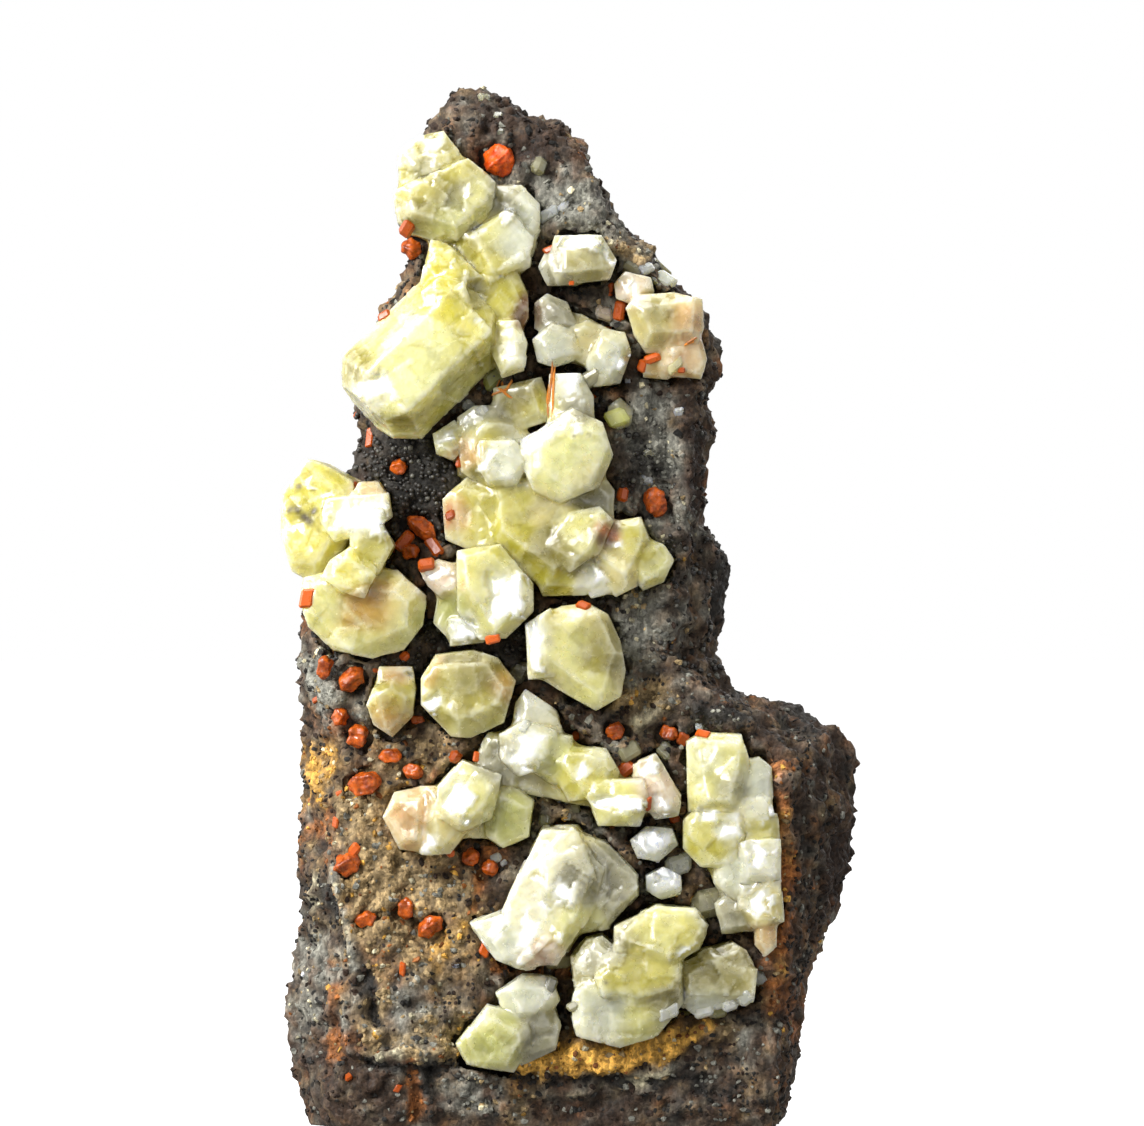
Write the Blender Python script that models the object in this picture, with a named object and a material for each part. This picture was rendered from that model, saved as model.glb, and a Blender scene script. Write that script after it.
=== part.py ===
"""Chrome cerussite specimen: cerussite and crocoite crystals grown on a dark gossan matrix.

World units are metres. +Z is up, the crystals grow on the side that faces -Y, and the specimen
stands on its flat broken base at z = 0. Every size below is in millimetres.
"""
import math

import bmesh
import bpy
from mathutils import Vector, noise
from mathutils.bvhtree import BVHTree

MM = 0.001

# Driving sizes
HEIGHT = 69.2
GAP = 0.3  # clearance between a crystal and the socket that it sits in
BLANK = 15.0  # half size of the cube that a crystal is cut from
ROOT_SPARE = 0.37  # steps by which the roots run past the depth at which they are cut
SWELL = 0.1  # how far the crystals reach past the outlines given below

# Side views of the rock, as (height, x) from the foot up
LEFT_SIDE = [
    (0, -17.5), (2, -17.9), (8.7, -18.9), (12.7, -17.7), (15, -17.7), (16.5, -18.2), (20, -17.8),
    (24.5, -17.9), (26.9, -17.4), (30, -17.9), (33, -17.7), (36.7, -17.6), (39, -16.8),
    (41.7, -15.3), (45.4, -13.6), (47.3, -14.3), (51.7, -13.3), (54.7, -12.5), (56.4, -11.2),
    (58.7, -10.9), (61, -11.2), (64, -10.2), (66.9, -9.0), (68.4, -8.0), (HEIGHT, -6.7),
]
FRONT_EDGE = [
    (0, 13.7), (5, 13.0), (11.7, 14.0), (18.4, 14.1), (24.4, 13.2), (28.1, 11.0), (29.4, 8.0),
    (31, 6.3), (35.7, 6.5), (41, 7.6), (48.4, 8.3), (54, 8.7), (56.4, 5.7), (60, 2.7), (64.4, 0.3),
    (66.4, -1.3), (67.3, -3.4), (68.4, -4.6), (HEIGHT, -5.6),
]
RIGHT_SIDE = [
    (0, 14.1), (2.8, 14.7), (5.1, 15.3), (9.2, 15.1), (10.9, 16.4), (15.1, 17.9), (19.9, 19.0),
    (23.4, 19.4), (24.8, 19.3), (25.9, 18.1), (26.5, 16.9), (27.3, 15.1), (28, 14.5), (28.5, 11.5),
    (29.2, 9.9), (32, 9.2), (33.3, 10.1), (37.7, 10.3), (39.6, 9.1), (40.2, 8.3), (44.7, 8.8),
    (46.4, 9.7), (48.4, 8.9), (50.3, 9.7), (52.7, 9.3), (54.9, 8.4), (56.4, 6.5), (57.5, 5.5),
    (59.3, 4.5), (61.4, 2.3), (63.1, 1.3), (66.1, 0.6), (66.7, -0.1), (67.3, -2.5), (68.4, -4.2),
    (HEIGHT, -5.3),
]
# The rock's front and back, as (height, y)
FRONT_FACE = [(0, -0.4), (8, -0.6), (28, 0.0), (45, 0.3), (58, 0.8), (66, 1.9), (HEIGHT, 3.4)]
BACK_FACE = [
    (0, 21.5), (12, 22.5), (25, 21.0), (29, 17.5), (45, 15.0), (60, 11.8), (66, 9.0), (HEIGHT, 5.4),
]

# The rock's surface
RINGS = 33
FRONT_POINTS, FLANK_POINTS, BACK_POINTS = 13, 5, 11
LEFT_ROUND = 2.6  # how far in from the left edge the front face starts to turn back
LEFT_TURN, RIGHT_TURN = 0.24, 0.48  # where the outermost points lie, as shares of the depth
LUMP, CRAG = 0.9, 0.45  # heights of the broad lumps and of the small broken steps
BACK_ROUGH = 1.9  # how much rougher the back and the flank are than the front
CALM_EDGE = 0.3  # share of the roughness that is left at the outline
# Flat faces along which the back has broken, as a point and the way that the face looks
BREAKS = [
    ((9.0, 18.5, 12.0), (0.55, 1.0, 0.1)),
    ((-10.0, 17.5, 8.0), (-0.7, 1.0, -0.15)),
    ((0.0, 20.6, 18.0), (0.05, 1.0, 0.25)),
    ((-4.0, 14.2, 38.0), (-0.35, 1.0, 0.12)),
    ((3.5, 12.6, 46.0), (0.5, 1.0, 0.2)),
    ((-3.0, 9.6, 60.0), (-0.1, 1.0, 0.55)),
]

# Ridges and hollows on the front: start, end, half width and height, which is negative in a hollow
RELIEF = [
    ((-15.2, 8.4), (-11.4, 3.8), 1.2, 0.9),
    ((-13.2, 4.4), (-4.8, 3.9), 1.0, 1.0),
    ((-4.6, 3.6), (8.6, 6.4), 1.3, 0.8),
    ((-16.8, 29.0), (-16.8, 21.5), 1.0, 0.6),
    ((-13.0, 44.0), (-9.6, 41.0), 2.0, -0.9),
    ((4.6, 46.0), (6.6, 43.0), 1.6, -0.5),
    ((4.8, 33.5), (5.0, 30.5), 1.2, -0.6),
    ((-13.0, 16.0), (-9.0, 12.0), 2.6, 0.5),
    ((3.6, 62.0), (-0.4, 65.5), 1.2, 0.5),
]

PALE_YELLOW = (0.76, 0.74, 0.46)
YELLOW_GREEN = (0.72, 0.70, 0.30)
CREAM = (0.80, 0.76, 0.58)
MILKY = (0.80, 0.80, 0.74)
PEACH = (0.80, 0.66, 0.52)
GREY_GREEN = (0.62, 0.64, 0.52)
ORANGE_RED = (0.62, 0.10, 0.02)
ROCK_BROWN = (0.10, 0.075, 0.06)
# Roughness, share of light let through and refractive index of each mineral
CERUSSITE_FINISH = (0.2, 0.5, 1.8)
CROCOITE_FINISH = (0.25, 0.0, 2.3)
ROCK_FINISH = (0.9, 0.0, 1.5)


def along(profile, height):
    """Reads a profile of (height, value) pairs at a height."""
    for (low, start), (high, end) in zip(profile, profile[1:]):
        if height <= high:
            share = max(0.0, (height - low) / (high - low))
            return start + (end - start) * share
    return profile[-1][1]


def ring_heights():
    """Heights of the rock's rings, closer together on the ledge and under the tip."""
    close = [25.9, 26.7, 27.4, 28.1, 28.8, 66.8, 67.6, 68.5, HEIGHT]
    spread = [HEIGHT * i / RINGS for i in range(RINGS)]
    clear = [h for h in spread if min(abs(h - c) for c in close) > 0.7]
    return sorted(clear + close)


def near_line(x, z, start, end):
    """Distance in the front view from a point to a line."""
    a, b, p = Vector(start), Vector(end), Vector((x, z))
    share = max(0.0, min(1.0, (p - a).dot(b - a) / (b - a).length_squared))
    return (p - a.lerp(b, share)).length


def relief(x, z):
    """Height of the ridges and hollows at a point of the front face."""
    return sum(
        rise * math.exp(-((near_line(x, z, start, end) / width) ** 2))
        for start, end, width, rise in RELIEF
    )


def plan_of_section(height):
    """The rock's outline at a height, seen from above, as (x, y, on_front) points."""
    left, edge, right = (along(p, height) for p in (LEFT_SIDE, FRONT_EDGE, RIGHT_SIDE))
    front, back = along(FRONT_FACE, height), along(BACK_FACE, height)
    depth = back - front
    points = []
    for i in range(FRONT_POINTS):
        x = left + (edge - left) * i / FRONT_POINTS
        turn = max(0.0, 1.0 - (x - left) / LEFT_ROUND)
        points.append((x, front + LEFT_TURN * depth * turn**2, True))
    for i in range(FLANK_POINTS):
        share = i / FLANK_POINTS
        x = edge + (right - edge) * math.sin(share * math.pi / 2)
        points.append((x, front + RIGHT_TURN * depth * share, False))
    middle, half = (left + right) / 2, (right - left) / 2
    for i in range(BACK_POINTS):
        angle = math.pi * i / BACK_POINTS
        bulge = math.sin(angle) ** 0.7
        share = RIGHT_TURN + (LEFT_TURN - RIGHT_TURN) * i / BACK_POINTS
        y = front + depth * (share + (1 - share) * bulge)
        points.append((middle + half * math.cos(angle), y, False))
    return points


def roughness(x, y, z):
    """Lumps and broken steps of the rock at a point."""
    lump = noise.noise(Vector((x, y, z)) * 0.16 + Vector((3.1, 0.0, 7.7)))
    crag = noise.noise(Vector((x, y * 1.3, z * 1.2)) * 0.4)
    step = 0.6 - abs(noise.noise(Vector((x * 0.24, y * 0.3, z * 0.34)))) * 2.0
    return LUMP * lump + CRAG * crag + CRAG * step


def rock_ring(height):
    """One ring of the rock's surface with its roughness."""
    plan = plan_of_section(height)
    left = min(p[0] for p in plan)
    right = max(p[0] for p in plan)
    ring = []
    for i, (x, y, on_front) in enumerate(plan):
        before, after = plan[i - 1], plan[(i + 1) % len(plan)]
        out = Vector((after[1] - before[1], before[0] - after[0]))
        out = out.normalized() if out.length else Vector((0, 0))
        inside = min(x - left, right - x)
        calm = CALM_EDGE + (1 - CALM_EDGE) * min(1.0, inside / 2.0)
        rise = roughness(x, y, height) * calm * min(1.0, 0.3 + (HEIGHT - height) / 4)
        if on_front:
            rise += relief(x, height) * min(1.0, (x - left) / 1.5)
        else:
            rise *= BACK_ROUGH
        ring.append(Vector((x + out.x * rise * calm, y + out.y * rise, height)))
    return ring


def collection(name):
    made = bpy.data.collections.new(name)
    bpy.context.scene.collection.children.link(made)
    return made


def add_object(name, bm, home):
    """Makes an object of a finished bmesh."""
    bmesh.ops.recalc_face_normals(bm, faces=bm.faces)
    mesh = bpy.data.meshes.new(name)
    bm.to_mesh(mesh)
    bm.free()
    made = bpy.data.objects.new(name, mesh)
    home.objects.link(made)
    return made


def loft_rock(home):
    """The rock as a loft between its rings, closed by a flat base and a small tip."""
    bm = bmesh.new()
    rings = [[bm.verts.new(p * MM) for p in rock_ring(h)] for h in ring_heights()]
    for low, high in zip(rings, rings[1:]):
        for i in range(len(low)):
            j = (i + 1) % len(low)
            bm.faces.new((low[i], low[j], high[j], high[i]))
    bm.faces.new(rings[0])
    bm.faces.new(rings[-1])
    bmesh.ops.triangulate(bm, faces=[f for f in bm.faces if len(f.verts) == 4])
    bmesh.ops.recalc_face_normals(bm, faces=bm.faces)
    for point, normal in BREAKS:
        cut_away(bm, Vector(point) * MM, Vector(normal).normalized())
    return add_object("gossan_matrix", bm, home)


# Depths and slopes of the facets round a block, which take turns
RIM_DEPTH = (0.4, 0.75)
RIM_SLOPE = (1.0, 1.25, 1.5)


def block(outline, rise, rim=0.6, tilt=(0, 0), lean=(0, 0)):
    """Planes of a crystal that shows the given outline, as (x, z) points clockwise, to the front.

    It stands proud of the rock's face by rise, and facets of width rim run round its front face,
    which faces the way that tilt gives. lean slants its sides towards the back.
    """
    centre = sum((Vector((x, 0, z)) for x, z in outline), Vector()) / len(outline)
    centre.y = along(FRONT_FACE, centre.z) - rise
    planes = [(centre, Vector((tilt[0], -1, tilt[1])).normalized())]
    axis = Vector((lean[0], 1, lean[1]))
    for i, (x, z) in enumerate(outline):
        after = outline[(i + 1) % len(outline)]
        deep = RIM_DEPTH[i % len(RIM_DEPTH)] * rim
        corner = Vector((x, centre.y + deep, z))
        side = Vector((after[0] - x, 0, after[1] - z)).cross(axis).normalized()
        if side.dot(corner - centre) < 0:
            side.negate()
        planes.append((corner, side))
        steep = RIM_SLOPE[i % len(RIM_SLOPE)]
        planes.append((corner, (side + Vector((0, -steep, 0))).normalized()))
    return planes


def barrel(centre, axis, length, radius, taper=0.7, sides=6, turn=0.0):
    """Planes of a prism about an axis with a flat face and a ring of facets at each end."""
    centre, axis = Vector(centre), Vector(axis).normalized()
    across = axis.cross(Vector((0, 1, 0.02))).normalized()
    other = axis.cross(across)
    planes = []
    for end in (1, -1):
        planes.append((centre + axis * end * length / 2, axis * end))
    for k in range(sides):
        angle = turn + 2 * math.pi * k / sides
        out = across * math.cos(angle) + other * math.sin(angle)
        planes.append((centre + out * radius, out))
        for end in (1, -1):
            shoulder = centre + axis * end * (length / 2 - taper) + out * radius
            planes.append((shoulder, (out + axis * end * 0.9).normalized()))
    return planes


def cut_away(bm, point, normal):
    """Cuts off what lies in front of a plane and closes the cut."""
    whole = bm.verts[:] + bm.edges[:] + bm.faces[:]
    bmesh.ops.bisect_plane(
        bm, geom=whole, dist=1e-7, plane_co=point, plane_no=normal, clear_outer=True
    )
    open_edges = [e for e in bm.edges if e.is_boundary]
    if open_edges:
        bmesh.ops.holes_fill(bm, edges=open_edges, sides=0)


def cut_crystal(planes, grow=0.0):
    """Cuts a convex crystal out of a cube by its planes, each moved out by grow."""
    bm = bmesh.new()
    bmesh.ops.create_cube(bm, size=2 * BLANK * MM)
    bmesh.ops.translate(bm, verts=bm.verts, vec=planes[0][0] * MM)
    for point, normal in planes:
        cut_away(bm, (point + normal * grow) * MM, normal)
    bmesh.ops.remove_doubles(bm, verts=bm.verts, dist=2e-5)
    bmesh.ops.dissolve_degenerate(bm, edges=bm.edges, dist=1e-6)
    return bm


def combine(target, other, operation):
    """Applies a Boolean of other to target and removes other."""
    modifier = target.modifiers.new(operation.title(), "BOOLEAN")
    modifier.operation = operation
    modifier.solver = "EXACT"
    modifier.object = other
    bpy.context.view_layer.update()
    shaped = target.evaluated_get(bpy.context.evaluated_depsgraph_get())
    mesh = bpy.data.meshes.new_from_object(shaped)
    target.modifiers.clear()
    old = target.data
    target.data = mesh
    bpy.data.meshes.remove(old)
    bpy.data.objects.remove(other)


def grown_together(name, crystals, root, home, cutters, grow=0.0):
    """One solid of crystals that have grown into each other, cut flat at the depth of its root."""
    solid = None
    for i, crystal in enumerate(crystals):
        spare = (Vector((0, root + ROOT_SPARE * (1 + i), 0)), Vector((0, 1, 0)))
        bm = cut_crystal(crystal + [spare], SWELL + grow)
        if solid:
            combine(solid, add_object("blank", bm, cutters), "UNION")
        else:
            solid = add_object(name, bm, home)
    bm = bmesh.new()
    bm.from_mesh(solid.data)
    cut_away(bm, Vector((0, root + grow, 0)) * MM, Vector((0, 1, 0)))
    bm.to_mesh(solid.data)
    bm.free()
    return solid


def cut_socket(rock, crystals, root, cutters):
    """Cuts a solid's socket into the rock, wider than the solid by the gap."""
    cutter = grown_together("socket", crystals, root, cutters, cutters, GAP)
    cutter.hide_render = True
    cutter.display_type = "WIRE"
    combine(rock, cutter, "DIFFERENCE")


def keep_main_body(solid, weld=4e-6):
    """Welds the finest slivers and drops chips that the sockets have cut loose."""
    bm = bmesh.new()
    bm.from_mesh(solid.data)
    bmesh.ops.remove_doubles(bm, verts=bm.verts, dist=weld)
    bmesh.ops.dissolve_degenerate(bm, edges=bm.edges, dist=weld)
    unseen, bodies = set(bm.faces), []
    while unseen:
        body, edge_of_body = [], [unseen.pop()]
        while edge_of_body:
            face = edge_of_body.pop()
            body.append(face)
            for edge in face.edges:
                for near in edge.link_faces:
                    if near in unseen:
                        unseen.remove(near)
                        edge_of_body.append(near)
        bodies.append(body)
    bodies.sort(key=len)
    chips = [face for body in bodies[:-1] for face in body]
    if chips:
        bmesh.ops.delete(bm, geom=chips, context="FACES")
    loose = [v for v in bm.verts if not v.link_faces]
    bmesh.ops.delete(bm, geom=loose, context="VERTS")
    bm.to_mesh(solid.data)
    bm.free()


def finish(solid, colour, roughness_value, transmission, ior):
    """Gives a solid its own plain material."""
    material = bpy.data.materials.new(solid.name)
    material.use_nodes = True
    shader = material.node_tree.nodes["Principled BSDF"]
    shader.inputs["Base Color"].default_value = (*colour, 1.0)
    shader.inputs["Roughness"].default_value = roughness_value
    shader.inputs["Metallic"].default_value = 0.0
    shader.inputs["Transmission Weight"].default_value = transmission
    shader.inputs["IOR"].default_value = ior
    solid.data.materials.clear()
    solid.data.materials.append(material)


def crown():
    """Blades and blocks at the top left."""
    pale = [(-11.2, 64.7), (-9.9, 65.7), (-8.5, 66.0), (-7.1, 64.1), (-7.5, 63.6), (-11.2, 62.4)]
    green = [(-11.5, 62.1), (-6.8, 64.2), (-5.1, 62.7), (-5.3, 61.1), (-7.1, 59.1), (-8.6, 58.9),
             (-10.4, 59.5), (-11.3, 60.3)]
    clear = [(-5.3, 62.4), (-3.3, 62.4), (-2.2, 61.3), (-2.2, 59.7), (-2.9, 58.3), (-4.7, 59.1)]
    low = [(-7.4, 58.9), (-4.1, 60.8), (-2.5, 59.1), (-2.9, 57.3), (-4.7, 56.2), (-6.2, 56.6)]
    ground = [(-9.6, 60.5), (-5.5, 62.0), (-3.2, 60.5), (-3.6, 57.4), (-6.0, 55.6), (-8.8, 57.6)]
    return [
        block(ground, 2.0, 0.6, tilt=(0.0, 0.1)),
        block(pale, 3.0, 0.7, tilt=(-0.15, 0.2)),
        block(green, 3.6, 1.0, tilt=(0.05, 0.12)),
        block(clear, 1.9, 0.5, tilt=(0.1, -0.1)),
        block(low, 3.0, 0.8, tilt=(0.15, 0.1), lean=(0.06, 0)),
    ]


def big_barrel():
    """The largest crystal, a stubby hexagonal barrel, with what has grown round its upper end."""
    lump = [(-9.6, 55.4), (-8.6, 56.3), (-7.2, 56.0), (-6.7, 54.6), (-7.4, 53.3), (-9.0, 53.4)]
    peak = [(-9.7, 56.1), (-9.1, 58.8), (-8.2, 58.6), (-5.9, 56.3), (-6.7, 55.2), (-9.3, 55.2)]
    mass = [(-6.3, 56.5), (-3.6, 56.8), (-2.9, 55.3), (-2.9, 53.8), (-4.1, 51.8), (-5.6, 51.4),
            (-7.0, 54.4)]
    clear = [(-4.9, 53.4), (-3.5, 53.5), (-3.0, 52.1), (-3.2, 50.4), (-4.4, 50.0), (-5.1, 51.6)]
    return [
        barrel((-9.73, -1.44, 51.16), (0.70, 0.16, 0.69), 10.05, 3.1, taper=1.2, turn=math.pi / 6),
        block(lump, 4.6, 0.8, tilt=(0.1, 0.2)),
        block(peak, 3.6, 0.9, tilt=(-0.1, 0.1)),
        block(mass, 2.8, 0.8, tilt=(0.1, 0.05)),
        block(clear, 3.4, 0.5, tilt=(-0.2, 0.1)),
    ]


def bridge():
    """A long block with a grey one behind it, at the upper right."""
    front = [(-0.9, 59.1), (2.0, 59.1), (2.9, 57.6), (2.5, 56.5), (-0.7, 56.1), (-1.3, 57.6)]
    behind = [(-1.9, 57.2), (-1.5, 58.0), (0.3, 57.9), (0.3, 56.1), (-1.4, 56.1)]
    return [
        block(front, 3.2, 0.8, tilt=(0.0, 0.15)),
        block(behind, 2.4, 0.4, tilt=(-0.1, -0.1)),
    ]


def right_shoulder():
    """A pink lens above a large pale block, with two peach blocks under it."""
    lens = [(3.1, 56.0), (3.7, 56.7), (5.2, 56.3), (5.4, 55.6), (4.5, 54.8), (3.2, 55.2)]
    large = [(3.9, 54.4), (4.5, 55.1), (6.8, 55.3), (8.6, 54.9), (8.7, 53.2), (8.3, 52.0),
             (5.1, 51.6), (4.4, 52.7)]
    peach = [(6.3, 51.8), (8.6, 52.2), (8.9, 51.1), (8.6, 49.9), (6.8, 50.1), (6.1, 50.9)]
    beige = [(4.9, 50.9), (6.2, 51.9), (6.9, 50.5), (6.4, 49.9), (5.0, 50.0)]
    return [
        block(lens, 2.0, 0.5, tilt=(-0.1, 0.25)),
        block(large, 3.0, 0.9, tilt=(0.05, 0.1)),
        block(peach, 2.4, 0.5, tilt=(0.15, 0.05)),
        block(beige, 1.9, 0.4, tilt=(0.0, -0.2)),
    ]


def middle_chain():
    """Four blocks in a row below the bridge."""
    grey = [(-2.2, 54.7), (-1.5, 55.2), (-0.3, 54.7), (0.3, 53.2), (-1.2, 52.7), (-2.2, 53.2)]
    white = [(-2.3, 52.3), (-1.2, 53.2), (0.1, 52.8), (0.6, 51.3), (-1.0, 50.7), (-2.0, 51.0)]
    beige = [(0.0, 52.9), (1.2, 53.5), (2.5, 52.9), (2.4, 51.3), (1.2, 50.7), (0.2, 51.3)]
    blue = [(1.2, 50.7), (2.3, 52.9), (3.5, 52.7), (3.9, 51.5), (3.2, 49.6), (1.7, 49.4)]
    ground = [(-1.7, 53.9), (0.7, 53.9), (3.0, 52.6), (2.8, 50.2), (-0.4, 51.2), (-1.7, 51.6)]
    return [
        block(ground, 1.3, 0.4),
        block(grey, 1.9, 0.5, tilt=(-0.1, 0.1)),
        block(white, 2.7, 0.5, tilt=(0.0, 0.15)),
        block(beige, 2.2, 0.4, tilt=(0.1, 0.0)),
        block(blue, 3.2, 0.9, tilt=(-0.1, 0.12)),
    ]


def upper_bud():
    """A small green crystal to the right of the tall white block."""
    bud = [(2.7, 47.8), (3.3, 48.3), (4.0, 47.7), (3.9, 46.8), (3.2, 46.5), (2.7, 47.0)]
    return [block(bud, 1.4, 0.5, tilt=(0.1, 0.2))]


def centre_mass():
    """The crystals that fill the middle of the front, grown into one mass."""
    slab = [(-4.9, 49.0), (-2.0, 49.7), (-1.2, 47.2), (-3.8, 46.4), (-5.0, 47.5)]
    tall = [(-1.2, 49.9), (0.6, 49.9), (1.4, 48.5), (1.4, 46.8), (-1.3, 46.8)]
    glint = [(-8.9, 46.0), (-7.7, 46.8), (-7.0, 45.5), (-7.8, 44.5), (-8.7, 44.9)]
    clear = [(-7.3, 47.1), (-6.3, 47.8), (-4.9, 47.8), (-4.7, 46.3), (-6.0, 45.5), (-7.4, 46.0)]
    window = [(-5.9, 45.5), (-3.7, 45.5), (-2.8, 44.4), (-3.7, 42.8), (-5.3, 42.8), (-6.0, 44.1)]
    tablet = [(-3.1, 45.5), (0.2, 47.6), (2.0, 46.7), (2.7, 44.7), (1.8, 42.7), (-0.7, 41.7),
              (-2.3, 42.5), (-3.0, 44.1)]
    beige = [(-1.0, 42.5), (2.0, 43.3), (2.8, 42.3), (2.7, 40.5), (0.3, 40.5)]
    left_mass = [(-8.3, 41.7), (-6.7, 43.1), (-4.0, 42.9), (-3.1, 39.1), (-5.3, 38.0),
                 (-8.1, 39.2)]
    mass = [(-4.9, 43.0), (-0.7, 42.7), (1.3, 41.1), (1.0, 37.7), (-1.7, 35.5), (-3.5, 37.4),
            (-4.9, 38.5)]
    low_mass = [(-2.7, 38.0), (1.0, 38.9), (2.2, 37.1), (1.0, 35.6), (-1.7, 35.5)]
    blade = [(-1.4, 38.7), (0.1, 40.7), (1.9, 41.1), (2.7, 40.3), (1.8, 38.3), (0.0, 37.1)]
    bright = [(-7.3, 38.2), (-4.7, 38.6), (-2.6, 36.1), (-2.6, 34.4), (-4.3, 32.7), (-5.9, 32.6),
              (-7.3, 34.4)]
    pinkish = [(-9.8, 37.1), (-8.7, 37.6), (-7.1, 37.2), (-6.9, 35.3), (-8.4, 35.3), (-9.3, 36.1)]
    greenish = [(-8.6, 35.4), (-7.2, 35.7), (-6.0, 34.6), (-6.0, 32.4), (-7.7, 32.4),
                (-8.9, 33.6)]
    foot = [(-7.9, 33.7), (-6.0, 33.7), (-5.9, 32.4), (-7.8, 32.2)]
    return [
        block(slab, 2.2, 0.7, tilt=(-0.1, 0.0)),
        block(tall, 3.0, 0.5, tilt=(-0.15, 0.1)),
        barrel((-5.1, 0.2, 44.8), (0.12, -1, 0.1), 5.4, 2.3, taper=0.8, sides=7),
        block(clear, 2.2, 0.4, tilt=(-0.2, 0.2)),
        block(glint, 2.4, 0.4, tilt=(0.1, 0.25)),
        block(window, 3.6, 0.4, tilt=(-0.1, 0.05)),
        block(tablet, 4.2, 1.0, tilt=(0.12, -0.02)),
        block(beige, 2.2, 0.5, tilt=(0.0, -0.1)),
        block(mass, 3.0, 1.0, tilt=(0.05, 0.1)),
        block(left_mass, 2.5, 0.9, tilt=(-0.1, -0.02)),
        block(low_mass, 2.6, 0.9, tilt=(0.1, -0.15)),
        block(blade, 3.6, 0.5, tilt=(-0.2, 0.12)),
        block(bright, 4.2, 1.0, tilt=(0.12, 0.08)),
        block(pinkish, 2.6, 0.5, tilt=(-0.1, 0.2)),
        block(greenish, 2.0, 0.5, tilt=(-0.1, -0.15)),
        block(foot, 2.7, 0.3, tilt=(0.0, -0.2)),
    ]


def dog_bone():
    """Two lobes with a narrow waist, and a small white crystal under them."""
    left = [(1.7, 38.5), (2.2, 40.0), (4.6, 40.4), (5.2, 38.8), (4.3, 36.1), (3.1, 35.5),
            (1.9, 37.0)]
    right = [(4.4, 39.2), (6.1, 38.6), (6.7, 37.7), (6.1, 36.4), (4.9, 35.9), (3.9, 37.2)]
    small = [(0.8, 36.7), (2.5, 36.9), (2.7, 35.7), (1.5, 35.4)]
    return [
        block(left, 2.8, 0.8, tilt=(-0.05, 0.15)),
        block(right, 2.4, 0.6, tilt=(0.2, 0.05)),
        block(small, 2.2, 0.3, tilt=(0.0, -0.2)),
    ]


def large_block():
    """A large block below the centre mass, with a narrow one along its left side."""
    main = [(-2.4, 33.6), (-0.5, 34.5), (1.1, 34.7), (2.4, 34.0), (3.2, 32.3), (3.5, 30.4),
            (3.2, 28.8), (1.6, 27.9), (0.0, 28.9), (-2.2, 30.1)]
    strip = [(-2.8, 33.4), (-1.4, 34.3), (-1.1, 30.2), (-2.6, 30.0)]
    return [
        block(main, 3.8, 1.0, tilt=(0.1, 0.06)),
        block(strip, 4.1, 0.5, tilt=(-0.2, 0.06)),
    ]


def left_cluster():
    """Discs and blocks that hang over the left edge."""
    disc = [(-17.5, 36.4), (-15.0, 37.1), (-11.5, 36.9), (-9.7, 35.3), (-9.9, 33.5),
            (-11.1, 31.9), (-13.1, 31.4), (-15.6, 31.9), (-17.2, 33.4), (-17.7, 35.1)]
    yellow = [(-17.4, 44.2), (-16.4, 43.9), (-14.6, 42.9), (-14.2, 40.3), (-15.8, 37.6),
              (-17.3, 36.6), (-18.3, 37.1), (-19.0, 39.7), (-18.9, 42.3)]
    white = [(-16.0, 41.6), (-12.2, 42.0), (-12.0, 40.7), (-13.2, 39.7), (-15.5, 39.1),
             (-16.3, 40.3)]
    hump = [(-14.4, 41.9), (-13.9, 42.7), (-12.8, 42.8), (-12.2, 41.9), (-13.2, 41.2)]
    upper = [(-14.3, 40.0), (-12.6, 40.1), (-11.8, 38.7), (-12.8, 36.9), (-14.5, 37.3)]
    lower = [(-15.7, 37.6), (-14.5, 38.4), (-12.9, 37.1), (-13.7, 35.4), (-15.0, 35.8),
             (-16.2, 36.7)]
    return [
        block(disc, 3.0, 1.1, tilt=(-0.06, -0.1)),
        block(yellow, 2.4, 0.7, tilt=(-0.22, 0.05), lean=(0.12, 0)),
        block(white, 3.6, 0.4, tilt=(-0.1, 0.3)),
        block(hump, 2.8, 0.4, tilt=(0.1, 0.2)),
        block(upper, 3.6, 0.5, tilt=(0.1, 0.0)),
        block(lower, 4.4, 0.5, tilt=(-0.05, -0.1)),
    ]


def capped_crystal():
    """A small olive crystal under a peach cap."""
    cap = [(-12.7, 29.5), (-12.5, 30.5), (-10.6, 30.5), (-10.4, 29.3)]
    body = [(-12.9, 29.1), (-11.4, 29.9), (-10.4, 29.1), (-10.6, 27.4), (-11.8, 26.2),
            (-12.9, 26.9), (-13.3, 28.1)]
    return [
        block(cap, 1.9, 0.3, tilt=(0.0, 0.25)),
        block(body, 2.4, 0.7, tilt=(0.0, -0.1)),
    ]


def left_tablet():
    """A thick tablet with six main sides to the left of the middle."""
    outline = [(-9.7, 29.8), (-8.8, 31.3), (-6.4, 31.6), (-4.9, 31.1), (-3.8, 29.7), (-4.5, 27.1),
               (-6.6, 26.1), (-7.8, 26.2), (-9.7, 28.2)]
    return [block(outline, 3.2, 1.0, tilt=(-0.04, 0.04))]


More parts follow.
